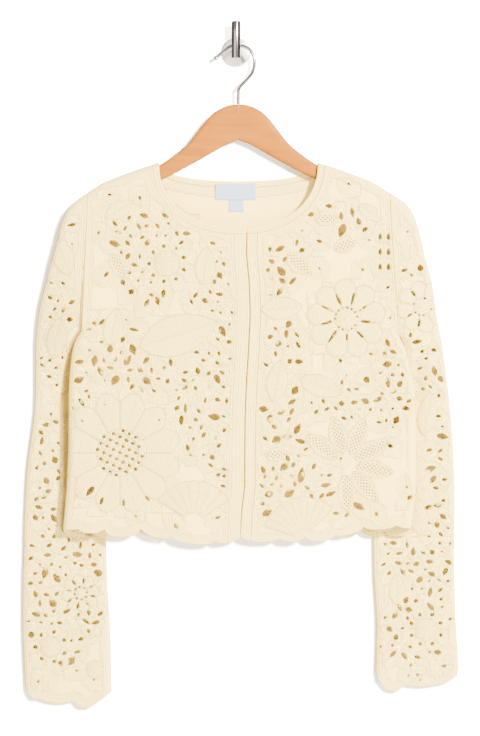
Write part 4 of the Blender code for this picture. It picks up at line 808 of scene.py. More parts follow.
def kept_plain(panel, x, z):
    """Whether the back stays whole here: in the neck and behind the front opening."""
    in_neck = math.hypot(x / PLAIN_NECK[0], (z - NECK_TOP) / PLAIN_NECK[1]) < 1
    return panel == "back" and (in_neck or abs(x - opening_x(z)) < PLAIN_OPENING)


def inside(loop, x, z):
    """Whether each flat point lies inside a closed line."""
    found = np.zeros(np.shape(x), bool)
    for (x0, z0), (x1, z1) in zip(loop, loop[1:] + loop[:1]):
        if z0 != z1:
            crossing = x0 + (x1 - x0) * (z - z0) / (z1 - z0)
            found ^= ((z0 > z) != (z1 > z)) & (x < crossing)
    return found


def ground_gaps(panel, loop):
    """Gaps in the ground between motifs, on a slanted lattice that is shaken a little."""
    ground = GROUND[panel]
    dice = random.Random(ground.seed)
    motifs = motifs_of(panel)
    (low_x, high_x), (low_z, high_z) = box_of(loop)
    row_step = ground.pitch * ROW_SHARE
    found = []
    for j in range(int((high_z - low_z) / row_step) + 1):
        for i in range(-1, int((high_x - low_x) / ground.pitch) + 2):
            shake = [dice.uniform(-SHAKE, SHAKE) for _ in range(2)]
            x = low_x + (i + 0.5 * (j % 2) + shake[0]) * ground.pitch
            z = low_z + (j + shake[1]) * row_step
            long, wide = dice.uniform(*GAP_LONG), dice.uniform(*GAP_WIDE)
            turn, round_, chance = dice.uniform(0, 360), dice.uniform(*GAP_ROUND), dice.random()
            uneven = UNEVEN[0] + UNEVEN[1] * dice.random() ** 2
            sizes = [
                zone.size for zone in ZONES[panel]
                if ((x - zone.x) / zone.reach_x) ** 2 + ((z - zone.z) / zone.reach_z) ** 2 < 1
            ]
            if not sizes and chance > ground.few:
                continue
            size = max(sizes, default=OUTSIDE_SIZE) * uneven
            if wide * size < SMALLEST_GAP or kept_plain(panel, x, z):
                continue
            margin = GROUND_MARGIN + 0.5 * wide * size
            if not any(covers(motif, x, z, margin) for motif in motifs):
                found.append(Gap(x, z, long * size, wide * size, turn, round_))
    return found


def apart(a, b):
    return math.dist((a.x, a.z), (b.x, b.z))


def fitting(gaps, loop, edge, behind, margin):
    """The gaps clear of the outline, of the turned edges and of the gaps in front or behind."""
    x, z = column(gaps, "x"), column(gaps, "z")
    places = zip(gaps, inside(loop, x, z), from_outline(loop, x, z)[0], edge(x, z)[0])
    return [
        gap for gap, here, far, fold in places
        if here and far > margin + gap.long and fold > FOLD_MARGIN + gap.long
        and all(apart(gap, other) > gap.long + other.long for other in behind)
    ]


def gaps_of(panel, loop, edge, behind=()):
    """All the gaps of a panel, none of them where the cloth turns over."""
    gaps = [gap for motif in MOTIFS[panel] for gap in motif_gaps(motif)]
    gaps = fitting(gaps, loop, edge, behind, MOTIF_MARGIN)
    if panel == "front_right":
        gaps += [Gap(x, z, *LADDER_HOLE, 90, 3.0) for x in LADDER_X for z in LADDER_Z]
    strewn = fitting(ground_gaps(panel, loop), loop, edge, behind, EDGE_MARGIN)
    if panel in BESIDE:
        body = front_outline(BESIDE[panel][0])
        far = from_outline(body, column(strewn, "x"), column(strewn, "z"))[0]
        strewn = [gap for gap, away in zip(strewn, far) if away > BODY_MARGIN]
    for gap in strewn:
        reach = (gap.long + gap.wide) / 2 + BETWEEN_GAPS
        if all(apart(gap, other) > reach + (other.long + other.wide) / 2 for other in gaps):
            gaps.append(gap)
    return gaps


def from_gap(gap, x, z):
    """Each point's signed distance to a gap's edge, the way out, and its angle round it."""
    p = gap.round
    a, b = inward(gap, x, z)
    half = gap.wide * (1 - GAP_TAPER * np.clip(a / gap.long, -1.1, 1.1))
    a_share, b_share = np.abs(a) / gap.long + 1e-6, np.abs(b) / half + 1e-6
    q = (a_share**p + b_share**p) ** (1 / p)
    grow_a = np.sign(a) / gap.long * (a_share / q) ** (p - 1)
    grow_b = np.sign(b) / half * (b_share / q) ** (p - 1)
    steep = np.maximum(np.hypot(grow_a, grow_b), 1.0)
    out_x, out_z = turned(math.radians(gap.turn), grow_a / steep, grow_b / steep)
    return (q - 1) / steep, out_x, out_z, np.arctan2(b, a)


def gap_field(gaps, x, z):
    """The nearest gap's signed distance, the way out of it, and a place along its edge."""
    best = np.full(x.shape, GAP_REACH)
    out_x, out_z, along = np.zeros_like(x), np.zeros_like(x), x + z
    for gap in gaps:
        reach = gap.long + GAP_REACH
        near = np.flatnonzero((np.abs(x - gap.x) < reach) & (np.abs(z - gap.z) < reach))
        far, go_x, go_z, angle = from_gap(gap, x[near], z[near])
        closer = far < best[near]
        spots = near[closer]
        best[spots] = far[closer]
        out_x[spots], out_z[spots] = go_x[closer], go_z[closer]
        along[spots] = angle[closer] * (gap.long + gap.wide + far[closer]) / 2
    return best, out_x, out_z, along


# Crochet relief


Worked = namedtuple("Worked", "height u v net groove")


def worked(panel, x, z, from_edge, gap_distance, along, raise_by):
    """The cloth's relief, its rows of stitches, its fine nets and the painted shade in its
    grooves.

    `v` runs across the rows of stitches and `u` along them. Rows run round the gaps, and
    each motif has rows of its own.
    """
    height, net, groove = (np.zeros_like(x) for _ in range(3))
    u = np.where(from_edge < gap_distance, x + 0.3 * z, along)
    v = np.minimum(from_edge, gap_distance)
    for motif in motifs_of(panel):
        near = np.flatnonzero(np.hypot(x - motif.x, z - motif.z) < 1.05 * motif.reach)
        along_m, across_m = inward(motif, x[near], z[near])
        distance, angle = np.hypot(along_m, across_m), np.arctan2(across_m, along_m)
        tip = np.minimum(1.0, 5 * (1 - distance / motif.reach))

        def put(hit, rise, rows, across, netted=0.0, dip=0.0):
            """Sets the relief, the rows, the nets and the painted groove shade of those points
            near the motif that are hit.
            """
            spots = near[hit]
            for layer, values in (
                (height, raise_by * rise), (v, rows), (u, across), (net, netted), (groove, dip)
            ):
                layer[spots] = np.broadcast_to(values, hit.shape)[hit]

        if motif.kind in ("leaf", "net_leaf"):
            half = leaf_half(motif, np.clip(along_m / motif.reach, -1, 1))
            off = np.abs(across_m)
            t = off / np.maximum(half, 1e-5)
            rim = smooth((t - 0.62) / 0.2) * smooth((1.0 - t) / 0.12)
            outline = 1 - smooth((1 - t) / 0.12)
            if motif.kind == "leaf":
                vein = 1 - smooth(off / LEAF_VEIN)
                rise = 0.75 * smooth((1 - t) / 0.25) - 0.55 * vein + 0.45 * rim
                put(t < 1, rise, along_m * 0.8 + off * 0.9, across_m, 0.0,
                    0.8 * vein + 0.6 * outline)
            else:
                put(t < 1, 0.95 * rim + 0.15, along_m, across_m, smooth((0.66 - t) / 0.12),
                    0.5 * outline)
        elif motif.kind == "fan":
            hit = (np.abs(angle) < FAN_HALF_ANGLE) & (distance < motif.reach)
            hit &= distance > FAN_FROM * motif.reach
            ribs = 0.5 + 0.5 * np.cos(angle * math.pi * motif.count / FAN_HALF_ANGLE)
            put(hit, (0.15 + 0.75 * ribs**0.7) * tip, distance, angle * distance, 0.0,
                0.7 * (1 - ribs) ** 3)
        elif motif.kind == "rosette":
            lobes = 0.5 + 0.5 * np.cos(motif.count * angle)
            rise = (0.45 + 0.5 * lobes) * tip * (0.4 + 0.6 * smooth(distance / 0.003))
            put(distance < motif.reach, rise, distance, angle * distance, 0.0,
                0.6 * (1 - lobes) ** 2 * smooth(distance / motif.reach))
        else:
            lobe = np.abs(np.cos(motif.count * angle / 2))
            s = (distance - motif.wide) / (motif.reach * (0.82 + 0.18 * lobe) - motif.wide)
            valley = 1 - smooth(lobe * distance * math.pi / motif.count / VALLEY)
            middle = np.mod(motif.count * angle / (2 * math.pi) + 0.5, 1) - 0.5
            tangent = middle * 2 * math.pi * distance / motif.count
            vein = 1 - smooth(np.abs(tangent) / PETAL_VEIN)
            rise = smooth(s * 7) * smooth((1 - s) * 6) * (1 - valley)
            rise *= 1 - 0.35 * vein * smooth((0.85 - s) * 6)
            put((s > 0) & (s < 1), rise, distance, tangent, 0.0,
                0.9 * valley + 0.35 * vein + 0.4 * (1 - smooth((1 - s) * 12)))
            core = CORE_SHARE * motif.wide
            ring = (distance <= motif.wide) & (distance > core)
            put(ring, 0.9, distance, angle * distance)
            if motif.kind == "daisy":
                dome = 0.35 + 0.6 * smooth((0.0042 - distance) / 0.002)
                put(distance <= core, dome, distance, angle * distance, 0.0,
                    0.8 * (1 - smooth((core - distance) / 0.0015)))
    trim = smooth((TRIM - from_edge) / TRIM_FADE)
    height += raise_by * 0.55 * trim * (1 - net)
    height -= GAP_DIP * raise_by * (1 - smooth(gap_distance / GAP_DIP_WIDE))
    return Worked(height, u, v, net, groove)


# Materials


def linear(code):
    """A colour as linear red, green, blue and alpha, from its sRGB hex code."""
    channels = [int(code[i:i + 2], 16) / 255 for i in (1, 3, 5)]
    return [c / 12.92 if c <= 0.04045 else ((c + 0.055) / 1.055) ** 2.4 for c in channels] + [1]


def node(tree, kind, links=None, **settings):
    """Adds a node with its settings, its inputs' values and its links."""
    made = tree.nodes.new(kind)
    for name, value in settings.items():
        if name.startswith("in_"):
            socket = made.inputs[int(name[3:])] if name[3:].isdigit() else made.inputs[name[3:]]
            socket.default_value = value
        else:
            setattr(made, name, value)
    for name, source in (links or {}).items():
        tree.links.new(source, made.inputs[name])
    return made


def new_material(name, roughness, **sockets):
    """A material with its shader's own values set, and the place of each of its points."""
    made = bpy.data.materials.new(name)
    made.use_nodes = True
    tree = made.node_tree
    shader = tree.nodes["Principled BSDF"]
    shader.inputs["Roughness"].default_value = roughness
    for socket, value in sockets.items():
        shader.inputs[socket.replace("_", " ")].default_value = value
    return made, tree, shader, node(tree, "ShaderNodeTexCoord").outputs["Object"]


def colour_mix(tree, factor, first, second):
    """One colour at factor 0 and another at 1, each a hex code or a socket."""
    made = node(tree, "ShaderNodeMix", {0: factor}, data_type="RGBA")
    for index, value in ((6, first), (7, second)):
        if isinstance(value, str):
            made.inputs[index].default_value = linear(value)
        else:
            tree.links.new(value, made.inputs[index])
    return made.outputs[2]


def maths(tree, operation, *values):
    """A Math node on sockets and numbers."""
    made = node(tree, "ShaderNodeMath", operation=operation)
    for index, value in enumerate(values):
        if isinstance(value, (int, float)):
            made.inputs[index].default_value = value
        else:
            tree.links.new(value, made.inputs[index])
    return made.outputs[0]


def clamped(tree, value):
    return maths(tree, "MINIMUM", maths(tree, "MAXIMUM", value, 0.0), 1.0)


def attribute(tree, name):
    return node(tree, "ShaderNodeAttribute", attribute_name=name).outputs["Fac"]


def noise(tree, place, scale=1.0, stretch=None, **settings):
    """A noise texture, finer by `stretch` along each axis where that is given."""
    if stretch:
        place = node(tree, "ShaderNodeMapping", {"Vector": place}, in_Scale=stretch).outputs[0]
    settings["in_Scale"] = scale
    return node(tree, "ShaderNodeTexNoise", {"Vector": place}, **settings).outputs[0]


def bumped(tree, shader, height, strength, **distance):
    """Links a height to the shader's normal."""
    bump = node(tree, "ShaderNodeBump", {"Height": height}, in_Strength=strength, **distance)
    tree.links.new(bump.outputs[0], shader.inputs["Normal"])


def yarn_material(name, inner, yarn):
    """Mercerised cotton yarn, hooked by hand in rows. Matt, with a faint sheen on its loops.

    The rows are as far apart as in the garment, and single fibres are too fine to show.
    """
    made, tree, shader, place = new_material(
        name, 0.88, Sheen_Weight=0.18, Sheen_Roughness=0.5, Sheen_Tint=linear(yarn.light),
        Subsurface_Weight=yarn.glow, Subsurface_Radius=(1.0, 0.92, 0.60),
        Subsurface_Scale=0.004)
    do, held = partial(maths, tree), partial(attribute, tree)
    u, v, groove = held("row_u"), held("row_v"), held("groove")
    row = do("MULTIPLY", v, 2 * math.pi / ROW)
    stitch = do("MULTIPLY", u, 2 * math.pi / STITCH)
    shifted = do("ADD", stitch, do("MULTIPLY", row, 0.5))
    loops, ridges = (do("ABSOLUTE", do("SINE", do("MULTIPLY", wave, 0.5)))
                     for wave in (shifted, row))
    stitches = do("MULTIPLY", do("POWER", ridges, 0.6), do("MULTIPLY_ADD", loops, 0.55, 0.45))
    # The strands' own unevenness is about 1.2 mm across, and the yarn's is about 17 mm
    strands = noise(tree, place, 850.0, in_Detail=3.0)
    uneven = noise(tree, place, 60.0, in_Detail=2.0)
    # Openings of the fine nets are under 3 mm, so they are drawn dark, as painted shade of the
    # hollow seen through them
    net_u = do("SINE", do("MULTIPLY", u, 2 * math.pi / NET_U))
    net_v = do("SINE", do("MULTIPLY", v, 2 * math.pi / NET_V))
    pores = node(tree, "ShaderNodeMapRange", {"Value": do("MULTIPLY", net_u, net_v)},
                 in_1=0.22, in_2=0.62, in_3=0.0, in_4=1.0).outputs[0]
    pores = do("MULTIPLY", pores, held("net"))
    # Painted shade between the rows of stitches and in the motifs' grooves, with the yarn's own
    # uneven tone added
    dark = do("MULTIPLY", do("SUBTRACT", 1.0, stitches), yarn.row_contrast)
    dark = do("MAXIMUM", dark, do("MULTIPLY", groove, 0.55))
    dark = do("ADD", dark, do("MULTIPLY_ADD", uneven, 0.5, -0.22))
    colour = colour_mix(tree, clamped(tree, dark), yarn.light, yarn.shade)
    # Painted shade: over the inside faces on the inner finish, and round the gaps' rims on the
    # outer one; then painted shade in the grooves and net openings, and the body's painted shadow
    # on a sleeve
    painted_shade_at = held("enclosed") if inner else do("MULTIPLY", held("gap_edge"), 0.55)
    for factor, over in (
        (do("MULTIPLY", groove, 0.20), PORE_SHADE), (do("MULTIPLY", pores, 0.95), PORE_SHADE),
        (painted_shade_at, yarn.deep), (held("beside"), BODY_SHADOW_PAINT),
    ):
        colour = colour_mix(tree, factor, colour, over)
    tree.links.new(colour, shader.inputs["Base Color"])
    relief = do("MULTIPLY_ADD", strands, 0.35, stitches)
    relief = do("SUBTRACT", relief, do("MULTIPLY", pores, 1.2))
    bumped(tree, shader, relief, yarn.row_bump, in_Distance=0.0014)
    return made


def satin_material():
    """Woven polyester satin of a neck label: smooth and bright, with a fine weft."""
    made, tree, shader, place = new_material("woven_satin", 0.45, Sheen_Weight=0.3)
    weft = noise(tree, place, stretch=(400.0, 400.0, 2600.0))
    tree.links.new(colour_mix(tree, weft, "#93A6CC", "#8397C1"), shader.inputs["Base Color"])
    bumped(tree, shader, weft, 0.25, in_Distance=0.0002)
    return made


def wood_material(settings):
    """Varnished lotus wood, sanded round: warm and even, with long faint grain."""
    made, tree, shader, place = new_material(
        "varnished_wood", 0.5, Coat_Weight=0.04, Coat_Roughness=0.3, Specular_IOR_Level=0.05)
    do = partial(maths, tree)
    # The grain runs along the arm, about 10 mm wide, with finer pores in it
    bands = noise(tree, place, stretch=(14.0, 90.0, 120.0), in_Detail=4.0, in_Distortion=0.6)
    fine = noise(tree, place, stretch=(90.0, 900.0, 1500.0))
    blotch = noise(tree, place, 22.0, in_Detail=1.0)
    mixed = do("MULTIPLY_ADD", bands, 1.3, do("MULTIPLY_ADD", fine, 0.35, -0.45))
    mixed = do("SUBTRACT", do("MULTIPLY_ADD", blotch, 0.5, mixed), 0.2)
    colour = colour_mix(tree, clamped(tree, mixed), settings.wood_light, settings.wood_dark)
    tree.links.new(colour, shader.inputs["Base Color"])
    bumped(tree, shader, fine, 0.12, in_Distance=0.0003)
    return made


def chrome_material(name, colour, roughness, stretch):
    """Chrome plate on steel, polished, with faint draw lines."""
    made, tree, shader, place = new_material(name, roughness, Metallic=1.0)
    lines = noise(tree, place, stretch=stretch)
    shown = colour_mix(tree, maths(tree, "MULTIPLY", lines, 0.25), colour, "#8E8C92")
    tree.links.new(shown, shader.inputs["Base Color"])
    bumped(tree, shader, lines, 0.05, in_Distance=0.0002)
    return made


# Pieces


def mesh_of(name, made):
    """A mesh from the bmesh, which is freed."""
    mesh = bpy.data.meshes.new(name)
    made.to_mesh(mesh)
    made.free()
    return mesh


def flat_points(mesh):
    """The first two coordinates of a mesh's points."""
    points = np.empty(len(mesh.vertices) * 3)
    mesh.vertices.foreach_get("co", points)
    return points.reshape(-1, 3)[:, :2].T.copy()


def in_scene(name, data):
    made = bpy.data.objects.new(name, data)
    bpy.context.scene.collection.objects.link(made)
    return made


def piece(name, mesh, materials, node_name, sharp=None):
    """An object of this mesh that rides on the body and stands for a node."""
    made = in_scene(name, mesh)
    for material in materials:
        mesh.materials.append(material)
    mesh.shade_smooth()
    if sharp:
        mesh.set_sharp_from_angle(angle=math.radians(sharp))
    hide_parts(node_name)
    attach(made, BODY)
    return made


def thicken(shown, thickness, inside_material=0):
    """Gives a flat piece its thickness, on its inner side. The inner faces and rims take the given
    material slot, which on the cloth is the yarn painted with shade.
    """
    wall = shown.modifiers.new("Wall", "SOLIDIFY")
    wall.thickness = thickness
    wall.offset = -1.0
    wall.material_offset = wall.material_offset_rim = inside_material


def flat_area(loop):
    pairs = zip(loop, loop[1:] + loop[:1])
    return abs(sum(x0 * z1 - x1 * z0 for (x0, z0), (x1, z1) in pairs)) / 2


def snapped_grid(loop, gaps, cell):
    """A flat grid whose cells end exactly on the outline and on the edges of the gaps."""
    box = [(low - cell, high + cell) for low, high in box_of(loop)]
    counts = [math.ceil((high - low) / cell) for low, high in box]
    made = bmesh.new()
    bmesh.ops.create_grid(made, x_segments=counts[0], y_segments=counts[1], size=1.0)
    half = [count * cell / 2 for count in counts]
    middle = [low + far for (low, _), far in zip(box, half)]
    bmesh.ops.scale(made, vec=(*half, 1.0), verts=made.verts)
    bmesh.ops.translate(made, vec=(*middle, 0.0), verts=made.verts)
    x, z = np.array([vert.co[:2] for vert in made.verts]).T.copy()
    distance, away_x, away_z = from_outline(loop, x, z)
    here = inside(loop, x, z)
    snap = distance < 0.5 * cell
    x[snap] -= (away_x * distance)[snap]
    z[snap] -= (away_z * distance)[snap]
    # 1 inside, 0 on an edge, -1 outside or in a gap
    side = np.where(snap, 0, np.where(here, 1, -1))
    for _ in range(SNAP_ROUNDS):
        far, out_x, out_z, _along = gap_field(gaps, x, z)
        near = (np.abs(far) < 0.5 * cell) & (side != -1) & ~snap
        x[near] -= (far * out_x)[near]
        z[near] -= (far * out_z)[near]
    far = gap_field(gaps, x, z)[0]
    side[(side == 1) & (far < 0.06 * cell)] = 0
    side[(side != -1) & ~snap & (far < -0.25 * cell)] = -1
    made.verts.ensure_lookup_table()
    for vert, new_x, new_z in zip(made.verts, x, z):
        vert.co = (new_x, new_z, 0.0)
    doomed = []
    for face in list(made.faces):
        corners = list(face.verts)
        signs = [side[vert.index] for vert in corners]
        if -1 not in signs:
            continue
        k = signs.index(-1)
        before, corner, after, across = (corners[(k + step) % 4] for step in (-1, 0, 1, 2))
        if [signs[(k + step) % 4] for step in (-1, 1, 2)] != [0, 0, 1]:
            doomed.append(face)
            continue
        # One corner is out, and both beside it are on the edge: half the face stays
        bmesh.utils.face_split(face, before, after)
        doomed += [f for f in corner.link_faces
                   if across not in f.verts and before in f.verts and after in f.verts]
    bmesh.ops.delete(made, geom=list(set(doomed)), context="FACES")
    lone = [vert for vert in made.verts if not vert.link_faces]
    bmesh.ops.delete(made, geom=lone, context="VERTS")
    flats = [face for face in made.faces if face.calc_area() < 1e-9]
    bmesh.ops.delete(made, geom=flats, context="FACES")
    return made


def cloth(node_name, loop, form, face, cell, gaps=(), plain=False):
    """A panel of crochet: a worked outer face, and a wall's thickness inside it.

    A plain one is an edging. The others are the panels, which have motifs and gaps.
    """
    surface, edge = form
    yarn = bpy.context.scene.crochet_yarn
    name = f"{'edging' if plain else 'crochet'}_{node_name}"
    raise_by = 0.5 * yarn.raised if plain else yarn.raised
    made = snapped_grid(loop, gaps, cell)
    if face > 0:
        bmesh.ops.reverse_faces(made, faces=made.faces)
    mesh = mesh_of(name, made)
    x, z = flat_points(mesh)
    # Closer rows of points where the cloth turns over
    turn = TURN_REACH * ROLL
    fold = edge(x, z)
    near = (fold[0] < turn) & (fold[0] > 0) & (from_outline(loop, x, z)[0] > 1e-6)
    shift = turn * (fold[0] / turn) ** TURN_POWER - fold[0]
    x[near] += (fold[1] * shift)[near]
    z[near] += (fold[2] * shift)[near]
    from_edge = from_outline(loop, x, z)[0]
    gap_distance, _, _, along = gap_field(gaps, x, z)
    middle, normal = surface(x, z)
    seam_clear = smooth((edge(x, z)[0] / ROLL - SEAM_FADE[0]) / SEAM_FADE[1])
    work = worked(node_name, x, z, from_edge, gap_distance, along, raise_by)
    lift = yarn.wall / 2 + work.height * seam_clear
    mesh.vertices.foreach_set("co", (middle + normal * lift[:, None]).ravel())
    # Painted shade on the inside faces, growing from the outline inwards
    enclosed = smooth((from_edge - INSIDE_SHADE_FADE[0]) / INSIDE_SHADE_FADE[1])
    beside = np.zeros_like(x)
    # The body's shadow on the sleeve, painted in a strip beside the front's outline
    if node_name in BESIDE:
        side, reach, depth = BESIDE[node_name]
        wide = between(BESIDE_WIDE, "z", z, "wide") * reach
        from_body = from_outline(front_outline(side), x, z)[0]
        beside = depth * (1 - smooth((from_body / wide - BESIDE_FADE[0]) / BESIDE_FADE[1]))
    # The inside of the back neck, seen in the light, gets no painted shade
    if node_name == "back":
        level = NECK_TOP - FRONT_NECK_DROP * np.sqrt(np.maximum(0, 1 - (x / NECK_HALF) ** 2))
        enclosed *= smooth((level - z) / NECK_FADE)
    # Layers for the material. The groove, gap rim, inside and beside layers mark where shade is
    # painted.
    layers = {
        "row_u": work.u, "row_v": work.v, "net": work.net, "groove": work.groove * seam_clear,
        "gap_edge": 1 - smooth(gap_distance / GAP_RIM), "enclosed": enclosed, "beside": beside,
    }
    for layer, values in layers.items():
        held = mesh.attributes.new(layer, "FLOAT", "POINT")
        held.data.foreach_set("value", np.ascontiguousarray(values, dtype=np.float32))
    mesh.update()
    shown = piece(name, mesh, yarn_finishes(yarn), node_name)
    # The inside faces and the rims take the second finish, with its painted shade
    thicken(shown, yarn.wall, inside_material=1)
    cut = flat_area(loop) - sum(GAP_AREA * gap.long * gap.wide for gap in gaps)


def yarn_finishes(yarn):
    """The yarn's outer finish and its inner finish, whose inside faces are painted with shade,
    made once.
    """
    names = {"hooked_cotton": False, "hooked_cotton_inside": True}
    return [bpy.data.materials.get(name) or yarn_material(name, inner, yarn)
            for name, inner in names.items()]


def swept(name, rings, finish, node_name):
    """A closed tube through rings of points, made by extruding one ring again and again."""
    made = bmesh.new()
    loop = [made.verts.new(point) for point in rings[0]]
    made.faces.new(loop)
    for ring in rings[1:]:
        edges = [made.edges.get((a, b)) or made.edges.new((a, b))
                 for a, b in zip(loop, loop[1:] + loop[:1])]
        pulled = bmesh.ops.extrude_edge_only(made, edges=edges)["geom"]
        fresh = [item for item in pulled if isinstance(item, bmesh.types.BMVert)]
        loop = [min(fresh, key=lambda vert: (vert.co - old.co).length) for old in loop]
        for vert, point in zip(loop, ring):
            vert.co = point
    made.faces.new(loop)
    bmesh.ops.recalc_face_normals(made, faces=made.faces)
    if made.calc_volume(signed=True) < 0:
        bmesh.ops.reverse_faces(made, faces=made.faces)
    return piece(name, mesh_of(name, made), [finish], node_name, sharp=50)


def hanger_arm(side, finish):
    """One wooden arm, rounded all along, from the mitre to its blunt end."""
    first, second = HANGER[:2]
    mirrored = second._replace(x=-second.x, under=2 * first.under - second.under)
    rings = []
    for step in range(HANGER_SECTIONS + 1):
        place = step / HANGER_SECTIONS * (len(HANGER) - 1)
        i = min(int(place), len(HANGER) - 2)
        row = first._make(on_curve(HANGER, i, place - i, None if i else mirrored))
        middle, high = (row.top + row.under) / 2, (row.top - row.under) / 2
        ring = []
        for k in range(HANGER_SIDES):
            angle = 2 * math.pi * (k + 0.5) / HANGER_SIDES
            y = row.half * signed_power(math.cos(angle), HANGER_ROUND[0])
            z = middle + high * signed_power(math.sin(angle), HANGER_ROUND[1])
            ring.append(Vector((CENTRE_X + SIGN[side] * row.x, HANG_Y + y, z)))
        rings.append(ring)
    swept(f"hanger_arm_{side}", rings, finish, f"hanger_{side}")


def wire_rings():
    """Rings of points along the bent wire, and round its tip."""
    points = [Vector(on_curve(WIRE, i, k / WIRE_STEPS))
              for i in range(len(WIRE) - 1) for k in range(WIRE_STEPS)]
    sizes = [1.0] * len(points) + [row.size for row in WIRE_TIP]
    tip = Vector(WIRE[-1])
    ahead = (tip - Vector(WIRE[-2])).normalized()
    points += [tip + ahead * row.far for row in WIRE_TIP]
    rings = []
    for i, (point, size) in enumerate(zip(points, sizes)):
        way = (points[min(i + 1, len(points) - 1)] - points[max(i - 1, 0)]).normalized()
        side, back = Vector((-way.y, 0.0, way.x)), Vector((0, 1, 0))
        centre = Vector((point.x, HANG_Y, point.y))
        angles = [2 * math.pi * k / WIRE_SIDES for k in range(WIRE_SIDES)]
        rings.append([centre + (side * math.cos(a) + back * math.sin(a)) * (WIRE_RADIUS * size)
                      for a in angles])
    return rings


def turned_rod(part, radius, start, end, finish, bevel, both_ends=True):
    """A round rod between two points, with its rims softened."""
    start, end = Vector(start), Vector(end)
    made = bmesh.new()
    bmesh.ops.create_cone(made, cap_ends=True, segments=64, radius1=radius, radius2=radius,
                          depth=(end - start).length)
    rims = [e for e in made.edges if any(len(f.verts) > 4 for f in e.link_faces)
            and (both_ends or e.verts[0].co.z > 0)]
    bmesh.ops.bevel(made, geom=rims, offset=bevel, affect="EDGES", segments=3, profile=0.5,
                    material=-1)
    turn = (end - start).to_track_quat("Z", "Y").to_matrix()
    bmesh.ops.rotate(made, cent=(0, 0, 0), matrix=turn, verts=made.verts)
    bmesh.ops.translate(made, vec=(start + end) / 2, verts=made.verts)
    name = f"hook_{part}"
    piece(name, mesh_of(name, made), [finish], f"wall_{part}", sharp=35)


def label(size_name, box, finish):
    """A satin tab on the inside of the back neck, with a turned edge all round."""
    low_x, high_x, low_z, high_z = box
    width, length = high_x - low_x, high_z - low_z
    made = bmesh.new()
    bmesh.ops.create_grid(
        made, x_segments=LABEL_CELLS[0], y_segments=LABEL_CELLS[1], size=1.0)
    name = f"satin_label_{size_name}"
    mesh = mesh_of(name, made)
    across, up = flat_points(mesh)
    surface = body_surface("back", 1)[0]
    middle, normal = surface(low_x + width * (across + 1) / 2, low_z + length * (up + 1) / 2)
    rim = np.minimum((1 - np.abs(across)) * width, (1 - np.abs(up)) * length) / 2
    stitched = HEM_HIGH * (smooth(rim / HEM_STITCH) - smooth((rim - HEM_STITCH) / 0.0008))
    off = bpy.context.scene.crochet_yarn.wall / 2 + SEAM + LABEL_THICK + LABEL_CLEAR + stitched
    mesh.vertices.foreach_set("co", (middle - normal * off[:, None]).ravel())
    mesh.update()
    shown = piece(name, mesh, [finish], f"label_{size_name}")
    thicken(shown, LABEL_THICK)


# Settings and operators


def real(name, description, default, unit="NONE"):
    return bpy.props.FloatProperty(
        name=name, description=description, default=default, unit=unit)


def colour_code(name, description, default):
    return bpy.props.StringProperty(name=name, description=description, default=default)


class CrochetYarn(bpy.types.PropertyGroup):
    wall: real("Wall", "Thickness of the crochet", 0.0018, "LENGTH")
    raised: real("Raised", "How far motifs stand out", 0.0012, "LENGTH")
    front_cell: real("Front Cell", "Mesh cell of the fronts", 0.00155, "LENGTH")
    back_cell: real("Back Cell", "Mesh cell of the back", 0.00200, "LENGTH")
    sleeve_cell: real("Sleeve Cell", "Mesh cell of the sleeves", 0.00165, "LENGTH")
    light: colour_code("Light", "Yarn colour in the light", "#FBE085")
    shade: colour_code("Shade", "Yarn colour between stitches", "#ECCE76")
    # Painted shade: the inside faces and the gaps' rims are painted this colour for the shade
    # inside the garment
    deep: colour_code("Deep", "Yarn colour inside gaps", "#F2DA86")
    glow: real("Glow", "Share of light that passes through the yarn", 0.45)
    row_contrast: real("Row Contrast", "How dark the lines between rows are", 0.45)
    row_bump: real("Row Bump", "How deep the rows of stitches look", 0.90)


class HangerFinish(bpy.types.PropertyGroup):
    wood_light: colour_code("Light Wood", "Wood between its grain", "#945C12")
    wood_dark: colour_code("Dark Wood", "Wood in its grain", "#79460A")
    chrome: colour_code("Chrome", "Plated wire and hook", "#8A888E")


class StudioLight(bpy.types.PropertyGroup):
    key: real("Key", "Strength of the key light in watts", 1170.0)
    world: real("World", "Strength of the white surround", 0.65)
    wall_key: real("Wall Key", "How strong the wall's own lamp is against the key", 1.55)
    floor_drop: real("Floor Drop", "How far the floor is below the hook", 1.45, "LENGTH")


class CROCHET_OT_back(bpy.types.Operator):
    """Make the back and its neck edging"""
    bl_idname = "crochet.back"
    bl_label = "Back"

    def execute(self, context):
        form, loop = body_surface("back", 1), back_outline()
        seen = [gap for side in SIGN
                for gap in gaps_of(f"front_{side}", front_outline(side), form[1])]
        gaps = gaps_of("back", loop, form[1], seen)
        cloth("back", loop, form, 1, context.scene.crochet_yarn.back_cell, gaps)
        cloth("neck_back", neck_outline("back"), form, 1, EDGING_CELL, plain=True)
        return {"FINISHED"}


class CROCHET_OT_fronts(bpy.types.Operator):
    """Make both fronts with their bands and neck edgings"""
    bl_idname = "crochet.fronts"
    bl_label = "Fronts"

    def execute(self, context):
        for side in SIGN:
            panel = f"front_{side}"
            form, loop = body_surface(panel, -1), front_outline(side)
            cell = context.scene.crochet_yarn.front_cell
            cloth(panel, loop, form, -1, cell, gaps_of(panel, loop, form[1]))
            cloth(f"band_{side}", band_outline(side), form, -1, EDGING_CELL, plain=True)
            cloth(f"neck_{side}", neck_outline(side), form, -1, EDGING_CELL, plain=True)
        return {"FINISHED"}


